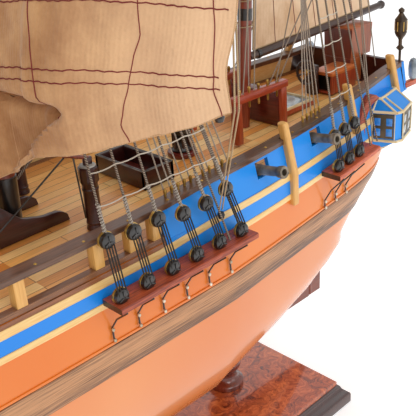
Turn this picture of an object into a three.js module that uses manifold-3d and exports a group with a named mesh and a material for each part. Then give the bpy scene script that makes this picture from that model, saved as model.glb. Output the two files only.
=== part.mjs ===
// Display model of a three-masted bark on a plinth, in millimetres.
// Frame: +X to the bow, +Y to port, +Z up, origin at the centre of the plinth's underside.
import * as THREE from 'three';
import { mergeVertices } from 'three/addons/utils/BufferGeometryUtils.js';
import Module from 'manifold-3d';

const wasm = await Module();
wasm.setup();

// Driving dimensions of the plinth and the hull.
const GAP = 0.3;
const PLINTH = { halfLength: 239, halfWidth: 66, moulding: 8, top: 20 };
const PEDESTAL_X = 182;
const KEEL_BOTTOM = 52;
const RABBET = 60;
const KEEL_HALF = 3;
const STERNPOST_X = -277;
const STERNPOST_AFT = -283.4;
const TAFFRAIL_X = -343;
const STEM_FOOT_X = 318;
const STEM_HEAD_X = 386;
const HALF_BEAM = 79;
const MIDBODY_AFT = -118;
const MIDBODY_FORE = 215;
const HULL_TOP = 219.5;
const DECK_TOP = 222.5;
const RAIL_TOP = 241.5;
const RAIL_THICK = 3.5;
const BULWARK_THICK = 3;
const BULWARK_FORE_X = -72;
const BOW_BULWARK_X = 196;

// Above the hull's top the sides lean inboard by this much for each millimetre of height.
const TUMBLEHOME = 0.243;

// Masts stand at these places on the deck, and rake aft by these angles in degrees.
const MASTS = {
  fore: { x: 282, rake: 1, lowerTop: 448, topmastTop: 612, truck: 742, radius: 7.0 },
  main: { x: -24, rake: 2, lowerTop: 468, topmastTop: 645, truck: 790, radius: 6.5 },
  mizzen: { x: -215, rake: 5, lowerTop: 421, topmastTop: 600, truck: 640, radius: 4.8 },
};
const BRACE_DEG = 10;

// Main stays: from a height on a mast, ahead of its axis, down to a place [x, z] on the centreline.
const STAYS = {
  fore: [{ z: 430, ahead: 0, to: [387, 260] }, { z: 584, ahead: 10, to: [584, 335.2] }],
  main: [{ z: 446, ahead: 0, to: [272.5, 240] }],
  mizzen: [{ z: 398, ahead: 0, to: [-33, 250] }],
};
const STAY_RADIUS = 0.8;

// Rudder, helm, capstan and windlass.
const RUDDER_AXIS_X = -286.6;
const RUDDER_TOP = 154.8;
const HELM = { x: -287, z: 247, radius: 11 };
const CAPSTAN_X = -156;
const WINDLASS = { x: 232, z: 236, half: 34, radius: 6 };

const COLOURS = {
  hull: [0xe8833a, 0.35, 0],
  walnut: [0x6b4a35, 0.5, 0],
  keel: [0x8a3a22, 0.4, 0],
  deck: [0xd9a55a, 0.5, 0],
  blue: [0x2a9bf0, 0.4, 0],
  rail: [0x4a3230, 0.35, 0],
  channel: [0xa34a2e, 0.35, 0],
  spar: [0x4a2c20, 0.4, 0],
  mast: [0x9a4a2c, 0.4, 0],
  sail: [0xd8b086, 0.95, 0],
  darkred: [0x5a1a12, 0.5, 0],
  black: [0x14110f, 0.5, 0],
  bronze: [0x5a5044, 0.4, 0.8],
  tan: [0xdcae6a, 0.5, 0],
  plinth: [0xa8502a, 0.2, 0],
};

const ship = new THREE.Group();

function add(name, geometry, colour) {
  const [color, roughness, metalness] = COLOURS[colour];
  const mesh = new THREE.Mesh(geometry, new THREE.MeshStandardMaterial({ color, roughness, metalness }));
  mesh.name = name;
  ship.add(mesh);
  return mesh;
}

// A closed three.js geometry as a solid that can be joined and cut.
function solid(geometry) {
  const bare = geometry.index ? geometry.toNonIndexed() : geometry.clone();
  for (const key of Object.keys(bare.attributes)) {
    if (key !== 'position') bare.deleteAttribute(key);
  }
  const merged = mergeVertices(bare, 1e-3);
  const vertProperties = new Float32Array(merged.attributes.position.array);
  const kept = [];
  const index = merged.index.array;
  for (let i = 0; i < index.length; i += 3) {
    const [a, b, c] = [index[i], index[i + 1], index[i + 2]];
    if (a !== b && b !== c && c !== a) kept.push(a, b, c);
  }
  const triVerts = new Uint32Array(kept);
  if (signedVolume(vertProperties, triVerts) < 0) {
    for (let i = 0; i < triVerts.length; i += 3) {
      const swap = triVerts[i];
      triVerts[i] = triVerts[i + 1];
      triVerts[i + 1] = swap;
    }
  }
  return new wasm.Manifold(new wasm.Mesh({ numProp: 3, vertProperties, triVerts }));
}

function signedVolume(points, triangles) {
  let total = 0;
  const at = (i) => new THREE.Vector3(points[3 * i], points[3 * i + 1], points[3 * i + 2]);
  for (let i = 0; i < triangles.length; i += 3) {
    total += at(triangles[i]).dot(at(triangles[i + 1]).cross(at(triangles[i + 2])));
  }
  return total / 6;
}

function geometryOf(body) {
  const mesh = body.getMesh();
  const geometry = new THREE.BufferGeometry();
  const count = mesh.vertProperties.length / mesh.numProp;
  const position = new Float32Array(3 * count);
  for (let i = 0; i < count; i += 1) {
    for (let k = 0; k < 3; k += 1) position[3 * i + k] = mesh.vertProperties[i * mesh.numProp + k];
  }
  geometry.setAttribute('position', new THREE.BufferAttribute(position, 3));
  geometry.setIndex(new THREE.BufferAttribute(new Uint32Array(mesh.triVerts), 1));
  return geometry;
}

function fuse(...geometries) {
  return geometryOf(geometries.map(solid).reduce((sum, next) => sum.add(next)));
}

function cut(geometry, ...tools) {
  return geometryOf(tools.map(solid).reduce((rest, tool) => rest.subtract(tool), solid(geometry)));
}

function box(x0, x1, y0, y1, z0, z1) {
  const geometry = new THREE.BoxGeometry(x1 - x0, y1 - y0, z1 - z0);
  return geometry.translate((x0 + x1) / 2, (y0 + y1) / 2, (z0 + z1) / 2);
}

// A straight round rod or taper from one point to another.
function rod(from, to, r0, r1 = r0, sides = 10) {
  const a = new THREE.Vector3(...from);
  const b = new THREE.Vector3(...to);
  const geometry = new THREE.CylinderGeometry(r1, r0, a.distanceTo(b), sides);
  const turn = new THREE.Quaternion().setFromUnitVectors(new THREE.Vector3(0, 1, 0), b.clone().sub(a).normalize());
  geometry.applyQuaternion(turn);
  const mid = a.add(b).multiplyScalar(0.5);
  return geometry.translate(mid.x, mid.y, mid.z);
}

// An outline of [x, z] points given thickness between two y values.
function plate(outline, y0, y1) {
  const shape = new THREE.Shape(outline.map(([x, z]) => new THREE.Vector2(x, z)));
  const geometry = new THREE.ExtrudeGeometry(shape, { depth: y1 - y0, bevelEnabled: false });
  return geometry.rotateX(Math.PI / 2).translate(0, y1, 0);
}

// An outline of [x, y] points given height between two z values.
function slab(outline, z0, z1) {
  const shape = new THREE.Shape(outline.map(([x, y]) => new THREE.Vector2(x, y)));
  return new THREE.ExtrudeGeometry(shape, { depth: z1 - z0, bevelEnabled: false }).translate(0, 0, z0);
}

// A turned piece standing upright, from [radius, z] points that start and end on the axis.
function turned(profile, x, y, sides = 16) {
  const geometry = new THREE.LatheGeometry(profile.map(([r, z]) => new THREE.Vector2(r, z)), sides);
  return geometry.rotateX(Math.PI / 2).translate(x, y, 0);
}

// A skin through rings of equal length; each ring is a closed loop whose two halves face each other.
function loft(rings) {
  const n = rings[0].length;
  const position = [];
  const quad = (a, b, c, d) => {
    for (const p of [a, b, c, a, c, d]) position.push(...p);
  };
  for (let j = 0; j + 1 < rings.length; j += 1) {
    for (let i = 0; i < n; i += 1) {
      const k = (i + 1) % n;
      quad(rings[j][i], rings[j][k], rings[j + 1][k], rings[j + 1][i]);
    }
  }
  const cap = (ring, flip) => {
    for (let i = 0; i + 1 < n / 2; i += 1) {
      const face = [ring[i], ring[n - 1 - i], ring[n - 2 - i], ring[i + 1]];
      if (flip) face.reverse();
      quad(...face);
    }
  };
  cap(rings[0], false);
  cap(rings[rings.length - 1], true);
  const geometry = new THREE.BufferGeometry();
  geometry.setAttribute('position', new THREE.BufferAttribute(new Float32Array(position), 3));
  return geometryOf(solid(geometry));
}

const mix = (a, b, t) => a + (b - a) * t;
const clamp01 = (t) => Math.min(1, Math.max(0, t));
const sheer = (x) => 7.2e-5 * x * x;
const side = { port: 1, starboard: -1 };

// The hull's form. A level z is a height before sheer is added, and deep is 0 at the rabbet, 1 at the hull's top.
const deep = (z) => clamp01((z - RABBET) / (HULL_TOP - RABBET));
const WALE_LEVEL = 178;

function midHalf(z) {
  if (z > WALE_LEVEL) return HALF_BEAM - 2.0 * ((z - WALE_LEVEL) / (HULL_TOP - WALE_LEVEL)) ** 2;
  const s = clamp01((z - RABBET) / (WALE_LEVEL - RABBET));
  return KEEL_HALF + (HALF_BEAM - KEEL_HALF) * (1 - (1 - s) ** 3.0) ** (1 / 2.1);
}

// Where the hull's skin ends aft and forward at a level, and how wide it is there.
const COUNTER_LEVEL = 146;

function sternX(z) {
  const rise = clamp01((z - COUNTER_LEVEL) / (HULL_TOP - COUNTER_LEVEL));
  return STERNPOST_X - (STERNPOST_X - TAFFRAIL_X - 6) * rise ** 0.9;
}

function sternHalf(z) {
  const rise = clamp01((z - 138) / 37);
  return KEEL_HALF + 50 * rise * rise * (3 - 2 * rise);
}

// How much the side has drawn in at a distance abaft the midbody: straight lines low down, a curve at the top.
function drawnIn(z, distance) {
  return mix(0.1 * distance, 0.0046 * distance ** 1.6, clamp01((z - 165) / 50));
}

const stemX = (z) => STEM_FOOT_X + (STEM_HEAD_X - STEM_FOOT_X) * (1 - (1 - deep(z)) ** 2.2) ** 0.55;

// Half breadth at a level, u running from 0 at the stern through the midbody to 1 at the stem.
function skinPoint(u, z) {
  const full = midHalf(z);
  if (u < 0.42) {
    const t = 1 - u / 0.42;
    const x = mix(MIDBODY_AFT, sternX(z), t);
    const power = Math.min(14, Math.max(1.15, 1.76 * Math.exp(0.0525 * (z - 98))));
    const run = full - drawnIn(z, MIDBODY_AFT - x) * (full / HALF_BEAM);
    return [x, mix(run, Math.min(sternHalf(z), run), t ** power)];
  }
  if (u > 0.62) {
    const t = (u - 0.62) / 0.38;
    const x = mix(MIDBODY_FORE, stemX(z), t);
    const power = mix(1.5, 2.3, deep(z));
    const blunt = mix(0.95, 0.5, deep(z));
    return [x, KEEL_HALF + (full - KEEL_HALF) * (1 - t ** power) ** blunt];
  }
  return [mix(MIDBODY_AFT, MIDBODY_FORE, (u - 0.42) / 0.2), full];
}

const LEVELS = [RABBET, 63, 68, 76, 88, 104, 122, 134, 142, COUNTER_LEVEL, 152, 160, WALE_LEVEL, 188, 200.5, 210, HULL_TOP];
const U_STERN = [0, 0.004, 0.012, 0.026, 0.05, 0.085, 0.13, 0.19, 0.26, 0.34, 0.42];
const U_BOW = [0.62, 0.7, 0.77, 0.83, 0.88, 0.92, 0.95, 0.975, 0.99, 1];
const U_STATIONS = [...U_STERN, 0.49, 0.56, ...U_BOW];

// Half breadth of the top works at a place along the ship, by search along the level.
function halfAt(x, z) {
  let low = 0;
  let high = 1;
  for (let i = 0; i < 40; i += 1) {
    const u = (low + high) / 2;
    if (skinPoint(u, z)[0] < x) low = u;
    else high = u;
  }
  return skinPoint((low + high) / 2, z)[1];
}

function hull() {
  const rings = U_STATIONS.map((u) => {
    const half = LEVELS.map((z) => {
      const [x, y] = skinPoint(u, z);
      return [x, z === RABBET ? KEEL_HALF : y, z + sheer(x) * deep(z)];
    });
    return [...half, ...half.map(([x, y, z]) => [x, -y, z]).reverse()];
  });
  return loft(rings);
}

// A strip of wall, rail or deck edge that follows the top works from x0 to x1, its top leaning inboard by lean.
function strip(x0, x1, steps, sign, outer, inner, z0, z1, level = HULL_TOP, lean = 0) {
  const rings = [];
  for (let i = 0; i <= steps; i += 1) {
    const x = mix(x0, x1, i / steps);
    const y = halfAt(x, level);
    const rise = sheer(x);
    rings.push([
      [x, sign * (y + outer), z0 + rise],
      [x, sign * (y + outer - lean), z1 + rise],
      [x, sign * (y - inner - lean), z1 + rise],
      [x, sign * (y - inner), z0 + rise],
    ]);
  }
  return loft(rings);
}

// The outside of the hull and its walls, grown a little, to fit what is fastened against them.
function outside(top, grow) {
  const levels = [140, 150, 160, WALE_LEVEL, 188, 200.5, 210, HULL_TOP];
  const rings = U_STATIONS.map((u) => {
    const half = levels.map((z) => {
      const [x, y] = skinPoint(u, z);
      return [x, y + grow, z + sheer(x) * deep(z)];
    });
    const [x, y] = skinPoint(u, HULL_TOP);
    half.push([x, y + grow - TUMBLEHOME * (top - HULL_TOP), top + sheer(x)]);
    return [...half, ...half.map(([px, py, pz]) => [px, -py, pz]).reverse()];
  });
  return loft(rings);
}

function plinth() {
  const { halfLength, halfWidth, moulding, top } = PLINTH;
  const ring = (grow, z) => [
    [-halfLength - grow, halfWidth + grow, z],
    [halfLength + grow, halfWidth + grow, z],
    [halfLength + grow, -halfWidth - grow, z],
    [-halfLength - grow, -halfWidth - grow, z],
  ];
  const profile = [[moulding, 0], [moulding, 7], [moulding - 2, 9.5], [moulding - 5, 12], [2, 15], [0, 17], [0, top]];
  return loft(profile.map(([grow, z]) => ring(grow, z)));
}

function pedestal(x) {
  const z0 = PLINTH.top + GAP;
  const z1 = KEEL_BOTTOM + 5;
  const profile = [[0, z0], [14, z0], [14, z0 + 4], [9, z0 + 7], [8, z0 + 10], [12, z0 + 17], [12.5, z0 + 20],
    [8, z0 + 25], [9.5, z0 + 28], [9.5, z1], [0, z1]];
  const slot = box(x - 20, x + 20, -KEEL_HALF - GAP, KEEL_HALF + GAP, KEEL_BOTTOM - GAP, z1 + 2);
  return cut(turned(profile, x, 0, 20), slot);
}

function keelAndStem() {
  const stemCurve = LEVELS.map((z) => {
    const low = 1 - deep(z);
    return [stemX(z) + GAP, z - 3 * GAP * low ** 3 + sheer(stemX(z)) * deep(z)];
  });
  const outer = stemCurve.map(([x, z]) => [x + 8, z]).reverse();
  const outline = [
    [STERNPOST_AFT, KEEL_BOTTOM],
    [STEM_FOOT_X - 4, KEEL_BOTTOM],
    [STEM_FOOT_X + 5, RABBET - 4],
    ...outer.slice().reverse(),
    ...stemCurve.slice().reverse(),
    [STERNPOST_X - GAP, RABBET - GAP],
    [STERNPOST_X - GAP, 148.3],
    [STERNPOST_AFT, RUDDER_TOP - 0.4],
  ];
  const beak = plate([
    [STEM_HEAD_X + 7, 196], [STEM_HEAD_X + 22, 206], [STEM_HEAD_X + 34, 222], [STEM_HEAD_X + 36, 230],
    [STEM_HEAD_X + 22, 224], [STEM_HEAD_X + 7, 222],
  ], -KEEL_HALF, KEEL_HALF);
  return fuse(plate(outline, -KEEL_HALF, KEEL_HALF), beak);
}

function deck() {
  const rings = [];
  const steps = 22;
  for (let i = 0; i <= steps; i += 1) {
    const x = mix(TAFFRAIL_X + 8, 364, i / steps);
    const y = Math.max(6, halfAt(x, HULL_TOP) - BULWARK_THICK - 4 * GAP);
    const rise = sheer(x);
    rings.push([
      [x, y, HULL_TOP + GAP + rise],
      [x, y, DECK_TOP + rise],
      [x, -y, DECK_TOP + rise],
      [x, -y, HULL_TOP + GAP + rise],
    ]);
  }
  const waistAft = BULWARK_FORE_X + GAP;
  const waistFore = BOW_BULWARK_X - GAP;
  const sides = [1, -1].map((sign) => strip(waistAft, waistFore, 12, sign, -GAP, 9, HULL_TOP + GAP, DECK_TOP));
  return fuse(loft(rings), ...sides, capstanBase());
}

const GUN_X = [-154, -211];
const WALL_LEAN = TUMBLEHOME * (RAIL_TOP - RAIL_THICK - HULL_TOP);

function bulwark(sign) {
  const top = RAIL_TOP - RAIL_THICK - GAP;
  const wall = strip(TAFFRAIL_X + 3, BULWARK_FORE_X, 22, sign, 0, BULWARK_THICK, HULL_TOP + GAP, top, HULL_TOP, WALL_LEAN);
  const ports = GUN_X.map((x) => {
    const y = sign * 70;
    return box(x - 7, x + 5, y - 25, y + 25, 226.5 + sheer(x), RAIL_TOP - RAIL_THICK - 1.6 + sheer(x));
  });
  const posts = SWIVEL_POSTS.map((post) => solid(swivelPost(post, sign)));
  return geometryOf(posts.reduce((sum, post) => sum.add(post), solid(cut(wall, ...ports))));
}

function bowBulwark(sign) {
  const top = RAIL_TOP - RAIL_THICK - GAP;
  return strip(BOW_BULWARK_X, 374, 14, sign, 0, BULWARK_THICK, HULL_TOP + GAP, top, HULL_TOP, WALL_LEAN);
}

const STANCHION_X = [-66.8, -50.8, -28.5, 17.2, 62, 107, 152];
const STANCHION_HALF = 3;
const STANCHION_DEPTH = 6;
const RAIL_OUTER = -3.5;
const RAIL_INNER = 12.5;
// Over the open waist the rail stands further out than over the bulwarks, and a little lower.
const WAIST_OUT = 3.5;
const WAIST_DOWN = 0.9;

// A square post whose outer face leans with the side: outer is how far it stands off the side at the hull's top.
function leaningPost(x, halfWide, outer, depth, z0, z1, sign) {
  const y = halfAt(x, HULL_TOP) + outer;
  const rise = sheer(x);
  const ring = (z) => {
    const face = y - TUMBLEHOME * Math.max(0, z - HULL_TOP);
    return [
      [x - halfWide, sign * (face - depth), z + rise],
      [x + halfWide, sign * (face - depth), z + rise],
      [x + halfWide, sign * face, z + rise],
      [x - halfWide, sign * face, z + rise],
    ];
  };
  const levels = z0 < HULL_TOP ? [z0, HULL_TOP, z1] : [z0, z1];
  return loft(levels.map(ring));
}

// From 0 below the first height to 1 above the second, rising evenly between them.
function ramp(x, from, to) {
  return Math.min(1, Math.max(0, (x - from) / (to - from)));
}

function railRing(x, sign) {
  const out = WAIST_OUT * ramp(x, -110, -74) * (1 - ramp(x, 196, 232));
  const down = WAIST_DOWN * ramp(x, -71, -50) * (1 - ramp(x, 172, 195));
  const outer = sign * (halfAt(x, HULL_TOP) + RAIL_OUTER + out);
  const inner = sign * (halfAt(x, HULL_TOP) - RAIL_INNER + out);
  const z = RAIL_TOP - down + sheer(x);
  return [[x, outer, z - RAIL_THICK], [x, outer, z], [x, inner, z], [x, inner, z - RAIL_THICK]];
}

function stanchion(x, sign) {
  const outer = halfAt(x, HULL_TOP) - 0.5;
  const z = sheer(x);
  const low = sign > 0 ? outer - STANCHION_DEPTH : -outer;
  const high = low + STANCHION_DEPTH;
  return box(x - STANCHION_HALF, x + STANCHION_HALF, low, high, DECK_TOP + GAP + 0.1 + z, RAIL_TOP - 2 + z);
}

function capRail(sign) {
  const rings = [];
  const steps = 72;
  for (let i = 0; i <= steps; i += 1) {
    rings.push(railRing(mix(TAFFRAIL_X + 3, 374, i / steps), sign));
  }
  const notches = SWIVEL_POSTS.map(({ x }) => {
    const halfWide = POST_HALF + GAP;
    return leaningPost(x, halfWide, POST_OUT + 8, POST_DEPTH + 8 + 2 * GAP, RAIL_TOP - 20, RAIL_TOP + 20, sign);
  });
  return cut(fuse(loft(rings), ...STANCHION_X.map((x) => stanchion(x, sign))), ...notches);
}

// Chain-wale shelves with their lower deadeyes: x of the first deadeye, spacing, count and shelf ends.
const CHANNELS = {
  fore: { first: 284, step: 16, count: 5, x0: 212, x1: 292, width: 16.5 },
  main: { first: -30, step: 17.6, count: 6, x0: -126, x1: -25, width: 16.5 },
  mizzen: { first: -219.5, step: 13.5, count: 3, x0: -268, x1: -213, width: 16 },
};
const DEADEYE_R = 4;
const DEADEYE_OUT = 10.5;
const CHANNEL_TOP = 207.5;

function channel(name, sign) {
  const { first, step, count, x0, x1, width } = CHANNELS[name];
  const shelf = strip(x0, x1, 6, sign, width, 6, CHANNEL_TOP - 3.5, CHANNEL_TOP, 205);
  const eyes = [];
  for (let i = 0; i < count; i += 1) {
    const x = first - step * i;
    const y = sign * (halfAt(x, 205) + DEADEYE_OUT);
    const z = CHANNEL_TOP + DEADEYE_R - 0.5 + sheer(x);
    eyes.push(rod([x, y - 2, z], [x, y + 2, z], DEADEYE_R, DEADEYE_R, 12));
  }
  return cut(fuse(shelf, ...eyes), outside(CHANNEL_TOP + 60, 2 * GAP));
}

function transom() {
  const x = TAFFRAIL_X;
  const rise = sheer(x);
  const y = halfAt(TAFFRAIL_X + 3, HULL_TOP);
  const ring = (half, aft, z) => [[x + 2.6, half, z], [x - aft, half, z], [x - aft, -half, z], [x + 2.6, -half, z]];
  const foot = ring(y, 0.5, HULL_TOP + GAP + rise);
  const head = ring(y - WALL_LEAN, 1.5, RAIL_TOP + rise);
  return fuse(loft([foot, head]), lantern(1), lantern(-1));
}

function rudder() {
  const axis = RUDDER_AXIS_X;
  const stock = rod([axis, 0, KEEL_BOTTOM], [axis, 0, RUDDER_TOP], 2.7, 2.7, 12);
  const outline = [[axis, KEEL_BOTTOM], [axis, RUDDER_TOP], [axis - 10, RUDDER_TOP], [axis - 14, 110], [axis - 12.5, KEEL_BOTTOM]];
  const blade = plate(outline.reverse(), -2.4, 2.4);
  return fuse(stock, blade);
}

const raked = (mast, z) => mast.x - Math.tan(THREE.MathUtils.degToRad(mast.rake)) * (z - DECK_TOP);
const mastPoint = (mast, z, ahead = 0) => [raked(mast, z) + ahead, 0, z];

function mast(name, spec) {
  const foot = DECK_TOP + sheer(spec.x) + GAP + spec.radius * Math.sin(THREE.MathUtils.degToRad(spec.rake));
  const { lowerTop, topmastTop, truck, radius } = spec;
  const double = 34;
  const topZ = lowerTop - double;
  const topX = raked(spec, topZ);
  const parts = [
    rod(mastPoint(spec, foot), mastPoint(spec, lowerTop), radius, radius * 0.7, 14),
    rod(mastPoint(spec, topZ, 10), mastPoint(spec, topmastTop, 10), radius * 0.6, radius * 0.42, 10),
    slab([[topX - 16, -22], [topX + 14, -24], [topX + 24, -12], [topX + 24, 12], [topX + 14, 24], [topX - 16, 22]],
      topZ - 2, topZ + 1),
    box(raked(spec, lowerTop) - 6, raked(spec, lowerTop) + 16, -4, 4, lowerTop - 4, lowerTop),
  ];
  if (truck > topmastTop + 60) {
    const headZ = topmastTop - 24;
    parts.push(rod(mastPoint(spec, headZ, 17), mastPoint(spec, truck, 17), radius * 0.36, radius * 0.18, 8));
    parts.push(box(raked(spec, topmastTop) + 5, raked(spec, topmastTop) + 22, -3, 3, topmastTop - 3, topmastTop));
    parts.push(box(raked(spec, headZ) + 4, raked(spec, headZ) + 24, -9, 9, headZ - 2, headZ));
  }
  for (const { z, ahead, to } of STAYS[name]) {
    parts.push(rod(mastPoint(spec, z, ahead), [to[0], 0, to[1]], STAY_RADIUS, STAY_RADIUS, 6));
  }
  return fuse(...parts);
}

const BOWSPRIT = { foot: [352, 238.5], head: [500, 294], boomFoot: [448, 281.5], boomHead: [604, 338] };

function bowsprit() {
  const { foot, head, boomFoot, boomHead } = BOWSPRIT;
  return fuse(
    rod([foot[0], 0, foot[1]], [head[0], 0, head[1]], 7, 5, 12),
    rod([boomFoot[0], 0, boomFoot[1] + 4], [boomHead[0], 0, boomHead[1]], 3.6, 2, 10),
    box(head[0] - 5, head[0], -5, 5, head[1] - 7, head[1] + 14),
  );
}

// Square sails and their yards: mast, yard height, half length at the yard and at the foot, foot height and belly.
const SAILS = [
  { node: 'fore_course', mast: 'fore', z: 402, half: 152, foot: 300, footHalf: 148, belly: 34, ahead: 10.4, r: 4 },
  { node: 'fore_topsail', mast: 'fore', z: 556, half: 112, foot: 420, footHalf: 146, belly: 26, ahead: 17.2, r: 3 },
  { node: 'fore_topgallant', mast: 'fore', z: 668, half: 76, foot: 576, footHalf: 104, belly: 18, ahead: 21.6, r: 2.2 },
  { node: 'main_course', mast: 'main', z: 424, half: 172, foot: 320, footHalf: 164, belly: 41, ahead: 9.8, r: 4.4 },
  { node: 'main_topsail', mast: 'main', z: 590, half: 124, foot: 442, footHalf: 164, belly: 28, ahead: 16.7, r: 3.2 },
  { node: 'main_topgallant', mast: 'main', z: 712, half: 84, foot: 610, footHalf: 116, belly: 20, ahead: 22, r: 2.4 },
  { node: 'mizzen_topsail', mast: 'mizzen', z: 545, half: 88, foot: 430, footHalf: 112, belly: 20, ahead: 15.8, r: 2.6 },
];
const SAIL_THICK = 1.2;

// A point that lies across the ship on a braced yard.
function braced(spec, y, z, ahead) {
  const mastSpec = MASTS[spec.mast];
  const turn = THREE.MathUtils.degToRad(BRACE_DEG);
  return [raked(mastSpec, z) + spec.ahead + ahead - y * Math.sin(turn), y * Math.cos(turn), z];
}

function yard(spec) {
  const arm = spec.half + 8;
  const middle = 0.3 * spec.half;
  const profile = [[0, -arm], [spec.r * 0.5, -arm], [spec.r, -middle], [spec.r, middle], [spec.r * 0.5, arm], [0, arm]];
  const geometry = new THREE.LatheGeometry(profile.map(([r, y]) => new THREE.Vector2(r, y)), 8);
  const [x, , z] = braced(spec, 0, spec.z, 0);
  return geometryOf(solid(geometry.rotateZ(THREE.MathUtils.degToRad(BRACE_DEG)).translate(x, 0, z)));
}

function squareSail(spec) {
  const columns = 10;
  const rows = 6;
  const rings = [];
  for (let j = 0; j <= columns; j += 1) {
    const across = mix(-1, 1, j / columns);
    const front = [];
    const back = [];
    for (let i = 0; i <= rows; i += 1) {
      const down = i / rows;
      const y = across * mix(spec.half, spec.footHalf, down);
      const sag = spec.node === 'main_course' ? 52 : 10;
      const footZ = spec.foot - sag * (1 - across * across);
      const z = mix(spec.z - spec.r - GAP - 0.05, footZ, down);
      const bulge = spec.belly * Math.sin(Math.PI * 0.62 * down) * (1 - 0.85 * across ** 4) - SAIL_THICK / 2;
      front.push(braced(spec, y, z, bulge + SAIL_THICK));
      back.push(braced(spec, y, z, bulge));
    }
    rings.push([...front, ...back.reverse()]);
  }
  return loft(rings);
}

// The gaff sail abaft the mizzen mast, with its boom and gaff, hung in one vertical plane.
const BOOM = { jaw: -224.6, end: -381, z0: 274, z1: 280, radius: 3.2 };
const GAFF = { jaw: -234.2, end: -330, z0: 372, z1: 436 };

function boom() {
  const { jaw, end, z0, z1, radius } = BOOM;
  return fuse(rod([jaw, 0, z0], [end, 0, z1], radius, radius * 0.75, 10), rod([end + 1, 0, z1], [end - 4, 0, z1], 3.4, 3.0, 10));
}

const gaff = () => rod([GAFF.jaw, 0, GAFF.z0], [GAFF.end, 0, GAFF.z1], 3, 1.8, 10);

function spanker() {
  const outline = [[-228.8, 277.9], [-366, 282.4], [-329, 432.6], [-236.2, 369.3], [-234.2, 365]];
  return plate(outline, -0.6, 0.6);
}

function jib() {
  return plate([[398, 300], [570, 340], [334, 541.5]], -0.6, 0.6);
}

// Plan of the quarter gallery: x and how far each corner stands out from its foremost one.
const BADGE_PLAN = [[-285, 0], [-291.5, 15.5], [-297, 17], [-317, 11], [-321, -5]];
const BADGE_LEVELS = [[200, 0.25], [207.5, 1], [229, 1], [235.5, 0.15]];

function quarterBadge(sign) {
  const wall = halfAt(-285, HULL_TOP);
  const rings = BADGE_LEVELS.map(([z, spread]) => {
    const corners = BADGE_PLAN.map(([x, out]) => {
      const flat = halfAt(x, HULL_TOP) + 1;
      return [x, sign * mix(Math.min(flat, wall + out), wall + out, spread), z];
    });
    return [[-285, sign * 40, z], ...corners.slice(0, 4), [-321, sign * 40, z]];
  });
  return cut(loft(rings), outside(RAIL_TOP + 10, 2 * GAP));
}

const QUARTER_TOP = DECK_TOP + GAP;
const onDeck = (x) => QUARTER_TOP + sheer(x);

function hatch(x0, x1, half, height) {
  const z = Math.max(onDeck(x0), onDeck(x1));
  const outer = box(x0, x1, -half, half, z, z + height);
  const inner = box(x0 + 2.5, x1 - 2.5, -half + 2.5, half - 2.5, z + 2, z + height + 1);
  return cut(outer, inner);
}

function mainBitts() {
  const z = onDeck(-50);
  const knee = [[-5, z], [-52, z], [-51, z + 4], [-45, z + 7.5], [-37, z + 8], [-29, z + 10], [-22, z + 12], [-14, z + 20],
    [-10, z + 23.5], [-5, z + 24.5]];
  const parts = [];
  for (const sign of [1, -1]) {
    parts.push(plate(knee, sign * 16 - 1.6, sign * 16 + 1.6));
    parts.push(box(-5.5, 1.5, sign * 16 - 3.2, sign * 16 + 3.2, z, z + 29));
  }
  parts.push(box(-4.5, 0.5, -24, 24, z + 21, z + 25));
  return fuse(...parts);
}

const PUMP = { x: -55, y: 37.5 };

function pump(sign) {
  const z = onDeck(PUMP.x);
  const y = sign * PUMP.y;
  return fuse(
    rod([PUMP.x, y, z], [PUMP.x, y, z + 29], 4.5, 4.5, 12),
    rod([PUMP.x, y, z + 28], [PUMP.x, y, z + 37], 5.4, 5.4, 8),
    box(PUMP.x - 3, PUMP.x + 2, y - 1.2, y + 1.2, z + 36, z + 42),
    box(PUMP.x - 2, PUMP.x + 16, y - 0.8, y + 0.8, z + 39.5, z + 41.5),
  );
}

function fifeRail() {
  const z = onDeck(-237);
  const y = 22.5;
  const parts = [];
  for (const sign of [1, -1]) {
    parts.push(box(-236, -182, sign * y - 3, sign * y + 3, z + 27.5, z + 34));
    for (const x of [-186.5, -231.5]) parts.push(box(x - 2.8, x + 2.8, sign * y - 2.8, sign * y + 2.8, z, z + 28));
  }
  parts.push(box(-236.5, -228, -y, y, z, z + 23.5));
  return fuse(...parts);
}

function skylight() {
  const z = onDeck(-277);
  return fuse(box(-277, -240, -16, 16, z, z + 3.2), box(-276.2, -240.8, -15.2, 15.2, z + 3, z + 5));
}

// The rudder's trunk stands against the transom and widens over it. A sentry box with an open front stands before it.
const TRUNK = { fore: -324.5, transom: -339.8, aft: -352, foot: 12, head: 13.5, top: 271 };
const SENTRY = { fore: -296, y0: -1, y1: 17, top: 247 };

function rudderTrunk() {
  const z = onDeck(-339);
  const sill = RAIL_TOP + sheer(TAFFRAIL_X) + GAP;
  const { fore, transom: wall, aft, foot, head, top } = TRUNK;
  const ring = (x0, x1, half, height) => [[x0, half, height], [x1, half, height], [x1, -half, height], [x0, -half, height]];
  const trunk = loft([
    ring(wall, fore, foot, z),
    ring(wall, fore - 0.5, mix(foot, head, 0.5), sill),
    ring(aft + 5, fore - 0.5, mix(foot, head, 0.5), sill + 0.1),
    ring(aft, fore - 1, head, top),
  ]);
  const sentryFoot = onDeck(fore);
  const sentry = box(fore - 1.5, SENTRY.fore, SENTRY.y0, SENTRY.y1, sentryFoot, SENTRY.top);
  const front = box(SENTRY.fore - 3.5, SENTRY.fore + 1, SENTRY.y0 + 1.5, SENTRY.y1 - 1.5, sentryFoot + 1, SENTRY.top - 1.5);
  return fuse(trunk, cut(sentry, front), helmStand());
}

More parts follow.
